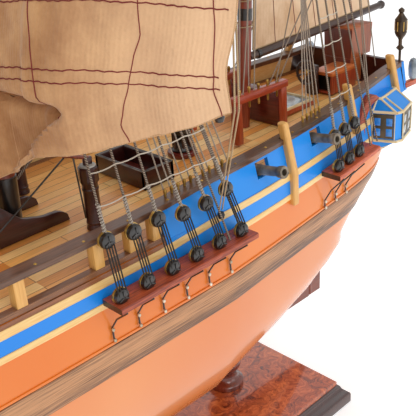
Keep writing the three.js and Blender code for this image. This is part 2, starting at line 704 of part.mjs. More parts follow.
function helmWheel() {
  const { x, z, radius } = HELM;
  const rim = new THREE.TorusGeometry(radius - 2, 1.1, 6, 24).rotateY(Math.PI / 2).translate(x, 0, z);
  const spokes = [];
  for (let i = 0; i < 4; i += 1) {
    const a = (i * Math.PI) / 4 + Math.PI / 8;
    const dy = radius * Math.cos(a);
    const dz = radius * Math.sin(a);
    spokes.push(rod([x, -dy, z - dz], [x, dy, z + dz], 0.7, 0.7, 6));
  }
  const hub = rod([x - 2, 0, z], [x + 1.5, 0, z], 2.6, 2.6, 10);
  const spindle = rod([x - 7, 0, z], [x - 1, 0, z], 1.2, 1.2, 8);
  return fuse(rim, ...spokes, hub, spindle);
}

function helmStand() {
  const { x, z } = HELM;
  const z0 = onDeck(SENTRY.fore);
  const board = box(SENTRY.fore - 0.6, x - 4.4, -4.5, 4.5, z0, z + 4.5);
  return cut(board, rod([x - 8.5, 0, z], [x, 0, z], 1.6, 1.6, 12));
}

function capstan() {
  const z = onDeck(CAPSTAN_X) + 3.4;
  return turned([[0, z], [7, z], [5, z + 3], [4.4, z + 11], [7.5, z + 13], [7.5, z + 18], [0, z + 19]], CAPSTAN_X, 0, 16);
}

function capstanBase() {
  const z = onDeck(CAPSTAN_X);
  return turned([[0, z - 1], [9.5, z - 1], [9.5, z + 3], [0, z + 3]], CAPSTAN_X, 0, 16);
}

function windlassBarrel() {
  const { x, z, half, radius } = WINDLASS;
  const barrel = rod([x, -half + 4.4, z], [x, half - 4.4, z], radius, radius, 10);
  const spindle = rod([x, -half - 6, z], [x, half + 6, z], 2.4, 2.4, 10);
  return fuse(barrel, spindle);
}

function windlassBitts() {
  const { x, z, half } = WINDLASS;
  const z0 = onDeck(x + 6);
  const parts = [];
  for (const sign of [1, -1]) {
    const bitt = box(x - 5, x + 5, sign * half - 3.5, sign * half + 3.5, z0, z + 16);
    parts.push(cut(bitt, rod([x, sign * half - 8, z], [x, sign * half + 8, z], 2.8, 2.8, 12)));
  }
  parts.push(box(x + 1, x + 4, -half, half, z + 9, z + 13));
  return fuse(...parts);
}

// A gun run out through its port, a little elevated: rings of radius and distance inboard or outboard of the side.
const GUN_OUT = 15;
const GUN_IN = -20;
const GUN_SLOPE = 0.17;

function gun(x, sign) {
  const y = halfAt(x, HULL_TOP);
  const z0 = onDeck(x - 8);
  const bore = (out) => [x, sign * (y + out), z0 + 8.2 + GUN_SLOPE * out];
  const carriage = [sign * (y - 22), sign * (y - 5)];
  return fuse(
    rod(bore(GUN_IN), bore(GUN_OUT), 3.5, 2.9, 12),
    rod(bore(GUN_OUT - 4), bore(GUN_OUT), 3.4, 3.9, 12),
    box(x - 4, x + 4, Math.min(...carriage), Math.max(...carriage), z0, z0 + 5.5),
  );
}

// Swivel gun posts: x and the level of each foot.
const SWIVEL_POSTS = [{ x: -180, foot: 198 }, { x: -257, foot: 217.5 }, { x: -325, foot: 203 }];
const POST_HALF = 2.6;
const POST_OUT = 4.5;
const POST_DEPTH = 6;
const POST_TOP = 251.5;

function swivelPost({ x, foot }, sign) {
  return cut(leaningPost(x, POST_HALF, POST_OUT, POST_DEPTH, foot, POST_TOP, sign), outside(HULL_TOP + GAP, 2 * GAP));
}

const LANTERN_Y = 45;

function lantern(sign) {
  const z = RAIL_TOP - 1 + sheer(TAFFRAIL_X);
  const profile = [[0, z], [1, z], [1, z + 9], [3, z + 11], [1.4, z + 13], [1.4, z + 17], [3.4, z + 20], [4.6, z + 23],
    [4.6, z + 32], [2.6, z + 35], [1.4, z + 37], [2.2, z + 39], [0, z + 41]];
  return turned(profile, TAFFRAIL_X + 0.5, sign * LANTERN_Y, 12);
}

add('plinth', plinth(), 'plinth');
add('pedestal_aft', pedestal(-PEDESTAL_X), 'mast');
add('pedestal_fore', pedestal(PEDESTAL_X), 'mast');
add('keel_and_stem', keelAndStem(), 'keel');
add('hull', hull(), 'hull');
add('deck', deck(), 'deck');
add('transom', transom(), 'blue');
add('rudder', rudder(), 'keel');
for (const [name, sign] of Object.entries(side)) {
  add(`bulwark_${name}`, bulwark(sign), 'blue');
  add(`bow_bulwark_${name}`, bowBulwark(sign), 'blue');
  add(`cap_rail_${name}`, capRail(sign), 'rail');
  for (const place of Object.keys(CHANNELS)) add(`channel_${place}_${name}`, channel(place, sign), 'channel');
  add(`quarter_badge_${name}`, quarterBadge(sign), 'tan');
  add(`pump_${name}`, pump(sign), 'spar');
  GUN_X.forEach((x, i) => add(`gun_${name}_${i + 1}`, gun(x, sign), 'bronze'));
}
for (const [name, spec] of Object.entries(MASTS)) add(`${name}_mast`, mast(name, spec), 'mast');
add('bowsprit', bowsprit(), 'mast');
for (const spec of SAILS) {
  add(`${spec.node}_yard`, yard(spec), 'spar');
  add(`${spec.node}_sail`, squareSail(spec), 'sail');
}
add('boom', boom(), 'spar');
add('gaff', gaff(), 'spar');
add('spanker_sail', spanker(), 'sail');
add('jib_sail', jib(), 'sail');
add('after_hatch', hatch(-127, -103, 24, 11.5), 'darkred');
add('main_hatch', hatch(48, 96, 24, 7), 'darkred');
add('main_bitts', mainBitts(), 'walnut');
add('fife_rail', fifeRail(), 'channel');
add('skylight', skylight(), 'channel');
add('rudder_trunk', rudderTrunk(), 'mast');
add('helm_wheel', helmWheel(), 'spar');
add('capstan', capstan(), 'black');
add('windlass_barrel', windlassBarrel(), 'black');
add('windlass_bitts', windlassBitts(), 'walnut');

export default ship;
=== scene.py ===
# %% [markdown]
# # A display model of a three-masted bark
# The real thing is a wooden model, about a metre long, on a veneered plinth. The imported CAD part gives
# every place in millimetres, and this lesson dresses it: each cell makes one kind of piece or one finish.
# We start by loading the part as a fixed frame.

import math

import bmesh
import bpy
from mathutils import Matrix, Vector, noise


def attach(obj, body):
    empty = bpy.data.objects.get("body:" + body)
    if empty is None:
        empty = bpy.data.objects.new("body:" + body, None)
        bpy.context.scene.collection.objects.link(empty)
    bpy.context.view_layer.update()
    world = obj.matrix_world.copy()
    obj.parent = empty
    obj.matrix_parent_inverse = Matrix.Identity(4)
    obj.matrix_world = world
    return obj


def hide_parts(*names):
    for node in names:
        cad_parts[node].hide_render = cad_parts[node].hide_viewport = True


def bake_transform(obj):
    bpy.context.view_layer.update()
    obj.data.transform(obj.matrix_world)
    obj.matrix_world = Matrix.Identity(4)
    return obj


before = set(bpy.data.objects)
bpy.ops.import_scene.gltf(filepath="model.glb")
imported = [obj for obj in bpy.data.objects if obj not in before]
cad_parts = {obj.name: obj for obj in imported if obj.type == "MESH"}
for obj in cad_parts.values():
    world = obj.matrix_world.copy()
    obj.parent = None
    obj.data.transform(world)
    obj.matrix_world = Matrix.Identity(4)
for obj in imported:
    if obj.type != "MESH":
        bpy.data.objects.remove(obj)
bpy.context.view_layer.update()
MM = 0.001
print("CAD nodes:", len(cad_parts))

# %% [markdown]
# The camera stands near the port bow, above the rail, and looks aft across the waist. Its place was solved
# from the long straight edges of the model. A camera's matrix holds its right, up and backward directions
# as columns.

# %% The camera
CAMERA_PLACE = Vector((0.1646, 0.3658, 0.4189))
CAMERA_RIGHT = Vector((-0.7090, 0.7022, -0.0643))
CAMERA_UP = Vector((-0.3486, -0.2699, 0.8976))
CAMERA_BACK = Vector((0.6130, 0.6588, 0.4361))
LENS_MM = 68.03

camera_data = bpy.data.cameras.new("camera")
camera_data.lens = LENS_MM
camera_data.sensor_width = 36
camera_data.clip_start = 0.01
camera = bpy.data.objects.new("camera", camera_data)
bpy.context.scene.collection.objects.link(camera)
turn = Matrix((CAMERA_RIGHT, CAMERA_UP, CAMERA_BACK)).transposed().to_4x4()
camera.matrix_world = Matrix.Translation(CAMERA_PLACE) @ turn
bpy.context.scene.camera = camera
print("camera lens", LENS_MM, "mm")

# %% [markdown]
# A catalogue picture of a glossy model is lit by big soft boxes in a white room. One large area light
# stands on each side, and a white world fills the shadows. The Standard view keeps white paper white.

# %% Light
bpy.context.scene.view_settings.view_transform = "Standard"
world = bpy.data.worlds.new("studio")
bpy.context.scene.world = world
world.use_nodes = True
world.node_tree.nodes["Background"].inputs["Color"].default_value = (1, 1, 1, 1)
world.node_tree.nodes["Background"].inputs["Strength"].default_value = 0.8


def soft_box(name, place, target, size, watts):
    """An area light that faces a point."""
    data = bpy.data.lights.new(name, "AREA")
    data.shape = "RECTANGLE"
    data.size = size[0]
    data.size_y = size[1]
    data.energy = watts
    lamp = bpy.data.objects.new(name, data)
    bpy.context.scene.collection.objects.link(lamp)
    lamp.location = place
    lamp.rotation_euler = (Vector(target) - Vector(place)).to_track_quat("-Z", "Y").to_euler()


soft_box("key_light", (0.3, 1.5, 1.6), (0, 0, 0.2), (0.9, 0.9), 8)
soft_box("side_light", (-0.9, 1.5, 0.9), (-0.1, 0, 0.2), (1.0, 0.7), 3)
print("two soft boxes lit")

# %% [markdown]
# Paint colours are written as sRGB hex values, as on a paint chart, and Blender wants linear light, so one
# function turns them. One more adds a node with its settings and its links. A finish starts as a new
# material with its shader, gets the colour stops of its pattern, and ends when colour and relief are laid
# on the shader.

# %% Starting a finish


def linear(hex_code):
    """An sRGB hex colour as linear RGBA."""
    channels = [int(hex_code[i : i + 2], 16) / 255 for i in (1, 3, 5)]
    return [c / 12.92 if c <= 0.04045 else ((c + 0.055) / 1.055) ** 2.4 for c in channels] + [1]


def add_node(tree, kind, inputs=None, **settings):
    """A node with its settings, and each input either set to a value or linked to an output."""
    made = tree.nodes.new("ShaderNode" + kind)
    for key, value in settings.items():
        setattr(made, key, value)
    for name, value in (inputs or {}).items():
        if isinstance(value, bpy.types.NodeSocket):
            tree.links.new(value, made.inputs[name])
        else:
            made.inputs[name].default_value = value
    return made


def start_finish(name, roughness, coat=0.0, metallic=0.0, colour="#808080"):
    """A material with a Principled shader, and the tree to draw its pattern in."""
    finish = bpy.data.materials.new(name)
    finish.use_nodes = True
    shader = finish.node_tree.nodes["Principled BSDF"]
    shader.inputs["Base Color"].default_value = linear(colour)
    shader.inputs["Roughness"].default_value = roughness
    shader.inputs["Metallic"].default_value = metallic
    shader.inputs["Coat Weight"].default_value = coat
    shader.inputs["Coat Roughness"].default_value = 0.12
    return finish, finish.node_tree, shader


def colour_stops(ramp, *stops):
    """Sets a colour ramp's (position, hex colour) stops: the first, the last, then any between them."""
    elements = ramp.color_ramp.elements
    for k, (position, colour) in enumerate(stops):
        stop = elements[k] if k < 2 else elements.new(position)
        stop.position = position
        stop.color = linear(colour)


PORE_DEPTH = 0.2 * MM


def lay_on(tree, shader, colour, height, strength, depth=PORE_DEPTH):
    """Links a pattern's colour to the shader, and lifts the surface by the pattern's height."""
    bump = add_node(tree, "Bump", {"Strength": strength, "Distance": depth, "Height": height})
    tree.links.new(colour, shader.inputs["Base Color"])
    tree.links.new(bump.outputs["Normal"], shader.inputs["Normal"])


# %% [markdown]
# Most of the model is varnished wood. Grain is noise drawn out along the plank: its real width is about
# half a millimetre, and it runs for some centimetres. The same noise, weaker, lifts the surface, because
# varnish sinks into open pores. The grain follows X on what runs along the ship, and Z on what stands.

# %% Wood
ALONG = {"X": (0.06, 1, 1), "Y": (1, 0.06, 1), "Z": (1, 1, 0.06), "UV": (0.018, 1, 1)}


def wood(name, light, dark, grain_mm=0.5, along="X", roughness=0.4, coat=0.3, contrast=0.5):
    """Varnished wood whose grain runs along one axis, or along the UV map of a plank that is bent."""
    finish, tree, shader = start_finish(name, roughness, coat)
    kind, output = ("UVMap", "UV") if along == "UV" else ("TexCoord", "Object")
    place = add_node(tree, kind).outputs[output]
    stretch = add_node(tree, "Mapping", {"Vector": place, "Scale": ALONG[along]}).outputs["Vector"]
    grain = add_node(tree, "TexNoise", {
        "Vector": stretch, "Scale": 0.6 / (grain_mm * MM), "Detail": 6, "Distortion": 0.4})
    tone = add_node(tree, "TexNoise", {"Vector": stretch, "Scale": 55, "Detail": 2})
    both = add_node(tree, "Mix", {0: 0.45, 2: grain.outputs[0], 3: tone.outputs[0]})
    tones = add_node(tree, "ValToRGB", {"Fac": both.outputs[0]})
    spread = 0.25 * (1.2 - contrast)
    colour_stops(tones, (0.5 - spread, dark), (0.5 + spread, light))
    lay_on(tree, shader, tones.outputs["Color"], grain.outputs[0], 0.15)
    return finish


RAIL_WOOD = wood("stained walnut, satin varnish", "#7C5238", "#28150D", roughness=0.36)
WALE_WOOD = wood("walnut planks, satin varnish", "#C08A5C", "#5A3820", 0.3, "UV", 0.45, contrast=0.85)
LIGHT_WOOD = wood("boxwood, satin varnish", "#E8B668", "#CC9248", along="Z")
LIGHT_TRIM = wood("boxwood moulding, satin varnish", "#F4D596", "#E0B066")
CHANNEL_WOOD = wood("mahogany, gloss varnish", "#CC6038", "#7C3220", 0.4, "X", 0.45, 0.12, 0.8)
MAST_WOOD = wood("mahogany spar, satin varnish", "#9A4326", "#5E2010", along="Z", roughness=0.35, coat=0.4)
SPAR_WOOD = wood("dark stained spar", "#4E3226", "#1E120E", along="Y", roughness=0.38)
DARK_POST = wood("dark stained post", "#4A2C22", "#1C100C", 0.6, along="Z")
BOX_RED = wood("dark red mahogany", "#7A2A1C", "#3A120C", along="Y", roughness=0.35)
KEEL_WOOD = wood("keel mahogany", "#8E4630", "#5A2416", roughness=0.35, coat=0.4)
print("woods made")

# %% [markdown]
# The hull's lines are the part's own: a half breadth for each place along the ship and each level. The same
# few functions are written here in millimetres, so a plank, a band or a rail laid with them fits the part.

# %% The ship's lines
HULL_TOP = 219.5
RABBET = 60.0
KEEL_HALF = 3.0
HALF_BEAM = 79.0
WALE_LEVEL = 178.0
RAIL_TOP = 241.5
DECK_TOP = 222.5
CHANNEL_LEVEL = 205
TAFFRAIL_X = -343.0
BULWARK_FORE_X = -72.0
BOW_BULWARK_X = 196.0
TUMBLEHOME = 0.243
SHEER = 7.2e-5
STEM_FOOT_X, STEM_HEAD_X = 318, 386
RUN_X, RUN_U = -118, 0.42
ENTRY_X, ENTRY_U = 215, 0.62


def sheer(x):
    return SHEER * x * x


def on_deck(x):
    """The planks' upper face at the middle of the deck."""
    return DECK_TOP + 0.3 + sheer(x)


def mix(a, b, t):
    return a + (b - a) * t


def clamp01(t):
    return min(1.0, max(0.0, t))


def ramp(x, low, high):
    return clamp01((x - low) / (high - low))


def deep(level):
    return ramp(level, RABBET, HULL_TOP)


def mid_half(level):
    if level > WALE_LEVEL:
        return HALF_BEAM - 2.0 * ((level - WALE_LEVEL) / (HULL_TOP - WALE_LEVEL)) ** 2
    s = max(0.0, (level - RABBET) / (WALE_LEVEL - RABBET))
    return KEEL_HALF + (HALF_BEAM - KEEL_HALF) * (1 - (1 - s) ** 3.0) ** (1 / 2.1)


def stern_x(level):
    return -277 - 60 * clamp01((level - 146) / 73.5) ** 0.9


def stern_half(level):
    rise = clamp01((level - 138) / 37)
    return KEEL_HALF + 50 * rise * rise * (3 - 2 * rise)


def drawn_in(level, distance):
    return mix(0.1 * distance, 0.0046 * distance**1.6, clamp01((level - 165) / 50))


def stem_x(level):
    return STEM_FOOT_X + (STEM_HEAD_X - STEM_FOOT_X) * (1 - (1 - deep(level)) ** 2.2) ** 0.55


def skin_point(u, level):
    """Place along and half breadth, for u from 0 at the stern to 1 at the stem."""
    full = mid_half(level)
    if u < RUN_U:
        t = 1 - u / RUN_U
        x = mix(RUN_X, stern_x(level), t)
        power = min(14, max(1.15, 1.76 * math.exp(0.0525 * (level - 98))))
        run = full - drawn_in(level, RUN_X - x) * full / HALF_BEAM
        return x, mix(run, min(stern_half(level), run), t**power)
    if u > ENTRY_U:
        t = (u - ENTRY_U) / (1 - ENTRY_U)
        blunt = mix(0.95, 0.5, deep(level))
        half = KEEL_HALF + (full - KEEL_HALF) * (1 - t ** mix(1.5, 2.3, deep(level))) ** blunt
        return mix(ENTRY_X, stem_x(level), t), half
    return mix(RUN_X, ENTRY_X, (u - RUN_U) / 0.2), full


def half_at(x, level):
    """Half breadth at a place along the ship, found by halving u."""
    low, high = 0.0, 1.0
    for _ in range(30):
        u = (low + high) / 2
        if skin_point(u, level)[0] < x:
            low = u
        else:
            high = u
    return skin_point((low + high) / 2, level)[1]


print("beam at the waist", round(2 * half_at(0, WALE_LEVEL), 1), "mm")

# %% [markdown]
# A plank that follows the hull is a grid primitive with its points moved onto the hull's lines. A board
# that runs along the ship, such as a rail, is a grid rolled into a tube of cross sections, with its seam
# merged and its ends filled. The UV map keeps millimetres along and around, for the patterns that follow
# the surface.

# %% Tools for shaping


def select_only(piece):
    bpy.ops.object.select_all(action="DESELECT")
    piece.select_set(True)
    bpy.context.view_layer.objects.active = piece


def grid_sheet(name, rows, uvs=None):
    """A grid primitive whose points are moved onto rows of points in millimetres."""
    across = len(rows[0])
    bpy.ops.object.select_all(action="DESELECT")
    bpy.ops.mesh.primitive_grid_add(x_subdivisions=across - 1, y_subdivisions=len(rows) - 1, calc_uvs=True)
    piece = bpy.context.object
    piece.name = name
    places = [c * MM for row in rows for point in row for c in point]
    piece.data.vertices.foreach_set("co", places)
    if uvs:
        flat = [pair for row in uvs for pair in row]
        layer = piece.data.uv_layers.active.data
        for loop in piece.data.loops:
            layer[loop.index].uv = flat[loop.vertex_index]
    piece.data.update()
    return piece


def in_edit(piece, *steps):
    """Runs mesh operators on the whole piece in edit mode."""
    select_only(piece)
    bpy.ops.object.mode_set(mode="EDIT")
    bpy.ops.mesh.select_all(action="SELECT")
    for step in steps:
        step()
    bpy.ops.object.mode_set(mode="OBJECT")
    return piece


def face_outwards():
    bpy.ops.mesh.select_all(action="SELECT")
    bpy.ops.mesh.normals_make_consistent(inside=False)


def merge_seam():
    bpy.ops.mesh.remove_doubles(threshold=2e-6)


def fill_ends():
    bpy.ops.mesh.select_all(action="SELECT")
    bpy.ops.mesh.fill_holes(sides=0)


def with_modifier(piece, kind, **settings):
    """Adds a modifier, sets it and applies it."""
    select_only(piece)
    modifier = piece.modifiers.new(kind.lower(), kind)
    for key, value in settings.items():
        setattr(modifier, key, value)
    bpy.ops.object.modifier_apply(modifier=modifier.name)
    return piece


def smooth(piece, degrees=35):
    select_only(piece)
    bpy.ops.object.shade_smooth_by_angle(angle=math.radians(degrees))
    return piece


def swept_board(name, rings, degrees=35):
    """A board of one cross section after another, closed at both ends."""
    rows = [list(ring) + [ring[0]] for ring in rings]
    along = [0.0]
    for a, b in zip(rings, rings[1:]):
        along.append(along[-1] + (Vector(b[0]) - Vector(a[0])).length)
    around = [0.0]
    for a, b in zip(rows[0], rows[0][1:]):
        around.append(around[-1] + (Vector(b) - Vector(a)).length)
    piece = grid_sheet(name, rows, [[(s * MM, g * MM) for g in around] for s in along])
    in_edit(piece, merge_seam, fill_ends, face_outwards)
    return smooth(piece, degrees)


def painted(piece, *finishes):
    """Gives a piece its finishes, in place of those that it has."""
    piece.data.materials.clear()
    for finish in finishes:
        piece.data.materials.append(finish)
    return piece


def belongs(piece, slot, body, *nodes):
    """Attaches a piece to the body it rides on, and hides the CAD nodes it stands for.
    The slot is not used.
    """
    if body:
        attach(piece, body)
    if nodes:
        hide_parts(*nodes)
    return piece


# %% [markdown]
# The hull is planked, filled, and sprayed with orange varnish until it shines. The spray hides the seams,
# so only a faint ripple along the planks is left, which the reflections show. Below the wale the same
# varnish is paler, because it lies over a lighter primer.

# %% Hull varnish


def sprayed(name, colour, pale, roughness, coat):
    """Sprayed varnish with slow changes of tone and a faint ripple along the planks."""
    finish, tree, shader = start_finish(name, roughness, coat)
    shader.inputs["Coat Roughness"].default_value = 0.06
    place = add_node(tree, "TexCoord").outputs["Object"]
    slow = add_node(tree, "TexNoise", {"Vector": place, "Scale": 7, "Detail": 2})
    tones = add_node(tree, "ValToRGB", {"Fac": slow.outputs[0]})
    colour_stops(tones, (0.3, colour), (0.72, pale))
    stretch = add_node(tree, "Mapping", {"Vector": place, "Scale": (0.08, 1, 1)})
    ripple = add_node(tree, "TexNoise", {"Vector": stretch.outputs["Vector"], "Scale": 90, "Detail": 2})
    lay_on(tree, shader, tones.outputs["Color"], ripple.outputs[0], 0.12, 0.4 * MM)
    return finish


BOTTOM_VARNISH = sprayed("orange varnish below the wale", "#DA7E40", "#E6985C", 0.25, 0.55)
TOPSIDE_VARNISH = sprayed("orange varnish above the wale", "#DE7420", "#E88C3C", 0.34, 0.3)
print("hull varnishes mixed")

# %% [markdown]
# The hull's skin is one grid from the port rail down to the keel and up to the starboard rail, closed
# across the deck and at both ends. It has a row of points at the wale's edges, where the two varnishes
# meet.

# %% The hull
LEVELS = [60, 61, 62.5, 64.5, 67, 70, 74, 79, 85, 92, 100, 109, 119, 130, 138, 142, 146, 150, 155, 160, 166,
          172, 178, 184, 190, 196, 202, 207, 212, 216, 219.5]
STATIONS = [RUN_U * (i / 44) ** 2.2 for i in range(45)] + [0.49, 0.56]
STATIONS += [1 - 0.38 * (1 - i / 40) ** 1.6 for i in range(41)]


def hull_ring(u):
    port = []
    for level in reversed(LEVELS):
        x, y = skin_point(u, level)
        port.append((x, KEEL_HALF if level == RABBET else y, level + sheer(x) * deep(level)))
    return port + [(x, -y, z) for x, y, z in reversed(port)]


hull_skin = grid_sheet("hull_planking", [hull_ring(u) for u in STATIONS])


def close_hull():
    """The deck side and both ends: quads from each port point to its starboard twin."""
    mesh = bmesh.from_edit_mesh(hull_skin.data)
    mesh.verts.ensure_lookup_table()
    count = 2 * len(LEVELS)
    last = len(STATIONS) - 1
    for row in (0, last):
        for i in range(len(LEVELS) - 1):
            pick = [i, i + 1, count - 2 - i, count - 1 - i]
            mesh.faces.new([mesh.verts[row * count + k] for k in pick])
    for row in range(last):
        a = row * count
        mesh.faces.new([mesh.verts[k] for k in (a, a + count, a + 2 * count - 1, a + count - 1)])
    bmesh.update_edit_mesh(hull_skin.data)


in_edit(hull_skin, close_hull, face_outwards)
smooth(hull_skin, 50)
belongs(painted(hull_skin, BOTTOM_VARNISH, TOPSIDE_VARNISH), "hull_varnish", "ship", "hull")
VARNISH_LINE = WALE_LEVEL - 8
for face in hull_skin.data.polygons:
    middle = face.center / MM
    if middle.z - sheer(middle.x) * deep(middle.z) > VARNISH_LINE:
        face.material_index = 1
print("hull faces", len(hull_skin.data.polygons))

# %% [markdown]
# The wale and the painted bands run the whole length at their own levels, a little proud of the skin. Each
# is a grid laid between two levels, thickened inwards, with its edges broken by a small bevel. The port
# belt is copied, and the copy is mirrored by turning its points over and its faces back.

# %% Belts along the hull


def mirrored(piece, name):
    """A copy for the starboard side, with its own mesh."""
    twin = piece.copy()
    twin.data = piece.data.copy()
    twin.name = name
    bpy.context.scene.collection.objects.link(twin)
    twin.data.transform(Matrix.Diagonal((1, -1, 1, 1)))
    twin.data.flip_normals()
    return twin


def waist_dip(x):
    """How far the painted bands run lower in the open waist than under the bulwarks."""
    return 2.6 * ramp(x, -110, -65) * clamp01((232 - x) / 45)


BELT_STEPS = 110


def belt(name, low, high, proud, thick, x0=None, x1=None, rows=3, bevel=0.25, dip=(0, 0)):
    """A belt of the hull's surface between two levels, standing proud. Each edge has its share of the dip."""
    lines, uvs = [], []
    for j in range(rows + 1):
        level = mix(low, high, j / rows)
        aft = stern_x(level) + 0.5 if x0 is None else x0
        fore = stem_x(level) - 0.5 if x1 is None else x1
        line, uv = [], []
        for i in range(BELT_STEPS + 1):
            x = mix(aft, fore, i / BELT_STEPS)
            lower = level - waist_dip(x) * mix(dip[0], dip[1], j / rows)
            y = half_at(x, lower) + proud
            line.append((x, y, lower + sheer(x) * deep(lower)))
            uv.append((x * MM, level * MM))
        lines.append(line)
        uvs.append(uv)
    piece = grid_sheet(name, lines, uvs)
    in_edit(piece, bpy.ops.mesh.flip_normals)
    with_modifier(piece, "SOLIDIFY", thickness=thick * MM, offset=-1)
    if bevel:
        with_modifier(piece, "BEVEL", width=bevel * MM, segments=2, limit_method="ANGLE")
    return smooth(piece, 40)


def pair(piece, name, slot, nodes=()):
    """Makes the starboard twin of a port piece that has its finishes, and says where both belong."""
    twin = mirrored(piece, name + "_starboard")
    piece.name = name + "_port"
    for side, made in (("port", piece), ("starboard", twin)):
        belongs(made, slot, "ship", *[node % side for node in nodes])


BLUE_PAINT = sprayed("blue paint, brushed", "#0080DE", "#1696F2", 0.38, 0.12)
EDGE_PLANK = wood("edge plank", "#A8683C", "#6A3C22")
WIDE_FOOT = dict(rows=1, bevel=0)
BELTS = [
    ("wale", (160, 178, 0.9, 1.8), {}, "walnut", WALE_WOOD),
    ("wale_bead", (178.4, 180, 0.8, 1.6), dict(bevel=0.3, rows=1), "hull_varnish", TOPSIDE_VARNISH),
    ("lower_band", (202.6, 206.2, 0.8, 1.6), dict(dip=(0.6, 0.6)), "light_wood", LIGHT_TRIM),
    ("blue_strake", (206.3, 215.4, 0.35, 1.2), dict(bevel=0, dip=(0.6, 1)), "blue_paint", BLUE_PAINT),
    ("upper_band", (215.5, 219.75, 0.8, 1.6), dict(dip=(1.1, 0.95)), "light_wood", LIGHT_TRIM),
    ("edge_plank", (216, 219.7, 0.3, 1.0, -72, 196), WIDE_FOOT, "deck_planks", EDGE_PLANK),
    ("wall_foot", (216, 220, 0.2, 1.0, -150, -72), WIDE_FOOT, "blue_paint", BLUE_PAINT),
    ("bow_foot", (216, 220, 0.2, 1.0, 196, 250), WIDE_FOOT, "blue_paint", BLUE_PAINT),
]
for name, sizes, shape, slot, finish in BELTS:
    pair(painted(belt(name, *sizes, **shape), finish), name, slot)
print(len(BELTS), "belts laid on each side")

# %% [markdown]
# Everything else is made of a few kinds of piece: a squared block, a turned piece, a moulding that runs
# along the ship's side, and a rope through points. Each helper takes millimetres. Ropes come as one mesh
# for a whole set, with metres along and around in their UV map, so that the twist of the strands follows
# each rope.

# %% Blocks, turned pieces, mouldings and ropes


def block(low, high, finish=None, bevel=0.3):
    """A squared block between two corners, with its edges broken."""
    bpy.ops.object.select_all(action="DESELECT")
    bpy.ops.mesh.primitive_cube_add(size=1)
    piece = bpy.context.object
    size = Matrix.Diagonal([(h - l) * MM for l, h in zip(low, high)] + [1])
    middle = Vector([(h + l) / 2 * MM for l, h in zip(low, high)])
    piece.data.transform(Matrix.Translation(middle) @ size)
    if bevel:
        with_modifier(piece, "BEVEL", width=bevel * MM, segments=2)
    return painted(smooth(piece), finish) if finish else smooth(piece)


def joined(name, parts):
    """Several parts as one piece."""
    bpy.ops.object.select_all(action="DESELECT")
    for part in parts:
        part.select_set(True)
    bpy.context.view_layer.objects.active = parts[0]
    if len(parts) > 1:
        bpy.ops.object.join()
    parts[0].name = name
    return parts[0]


def fitting(name, slot, node, parts, body="ship"):
    """Parts that already have their finishes, joined as the piece for one CAD node, or for none."""
    return belongs(joined(name, parts), slot, body, *([node] if node else []))


def turned(profile, foot, finish, towards=(0, 0, 1), sides=24, degrees=35):
    """A turned piece from (radius, distance) pairs along a direction, from a foot."""
    angles = [2 * math.pi * k / sides for k in range(sides)]
    rings = []
    for radius, height in profile:
        r = max(radius, 0.02)
        rings.append([(r * math.cos(a), r * math.sin(a), height) for a in angles])
    piece = swept_board("turned", rings, degrees)
    turn = Vector(towards).to_track_quat("Z", "Y").to_matrix().to_4x4()
    piece.data.transform(Matrix.Translation(Vector(foot) * MM) @ turn)
    return painted(piece, finish)


def between(a, b, profile, finish, sides):
    """A turned piece from one point to another; the profile's distances are fractions of its length."""
    span = Vector(b) - Vector(a)
    return turned([(r, t * span.length) for r, t in profile], a, finish, span, sides)


def rod(a, b, radius, finish, sides=8):
    return between(a, b, [(radius, 0), (radius, 1)], finish, sides)


def moulding(name, x0, x1, steps, profile, lean=True):
    """A moulding along the port side: profile points stand off the side by out, at height z before sheer."""
    rings = []
    for i in range(steps + 1):
        x = mix(x0, x1, i / steps)
        side = half_at(x, HULL_TOP)
        rings.append([(x, side + out - (TUMBLEHOME * max(0, z - HULL_TOP) if lean else 0), z + sheer(x))
                      for out, z in profile])
    return swept_board(name, rings)


def copies(model, name, matrices):
    """Copies of one model, each in its own place, joined as one piece."""
    parts = []
    for matrix in matrices:
        twin = model.copy()
        twin.data = model.data.copy()
        bpy.context.scene.collection.objects.link(twin)
        twin.data.transform(matrix)
        parts.append(twin)
    bpy.data.objects.remove(model)
    return joined(name, parts)


def shifted(*place):
    return Matrix.Translation(Vector(place) * MM)


def ropes(name, runs, radius, finish, body="ship", slot=None, sides=6):
    """Round ropes through lists of points, as one piece on one body, or on none."""
    places, faces, uvs = [], [], []
    for run in runs:
        points = [Vector(p) for p in run]
        first = len(places)
        gone = 0.0
        for i, point in enumerate(points):
            ahead = (points[min(i + 1, len(points) - 1)] - points[max(i - 1, 0)]).normalized()
            side = ahead.cross((0, 0, 1) if abs(ahead.z) < 0.9 else (1, 0, 0)).normalized()
            up = side.cross(ahead)
            gone += (point - points[i - 1]).length if i else 0.0
            for k in range(sides):
                a = 2 * math.pi * k / sides
                places.append((point + radius * (math.cos(a) * side + math.sin(a) * up)) * MM)
                uvs.append((gone * MM, a * radius * MM))
        for i in range(len(points) - 1):
            for k in range(sides):
                a, b = first + i * sides + k, first + i * sides + (k + 1) % sides
                faces.append((a, a + sides, b + sides, b))
        faces.append([first + k for k in range(sides)])
        faces.append([first + (len(points) - 1) * sides + k for k in reversed(range(sides))])
    mesh = bpy.data.meshes.new(name)
    mesh.from_pydata(places, [], faces)
    layer = mesh.uv_layers.new(name="along")
    for face in mesh.polygons:
        wraps = {i % sides for i in face.vertices} == {0, sides - 1}
        for loop in face.loop_indices:
            vertex = mesh.loops[loop].vertex_index
            u, v = uvs[vertex]
            layer.data[loop].uv = (u, 2 * math.pi * radius * MM if wraps and vertex % sides == 0 else v)
    piece = bpy.data.objects.new(name, mesh)
    bpy.context.scene.collection.objects.link(piece)
    smooth(piece, 70)
    return belongs(painted(piece, finish), slot, body)


print("helpers ready")

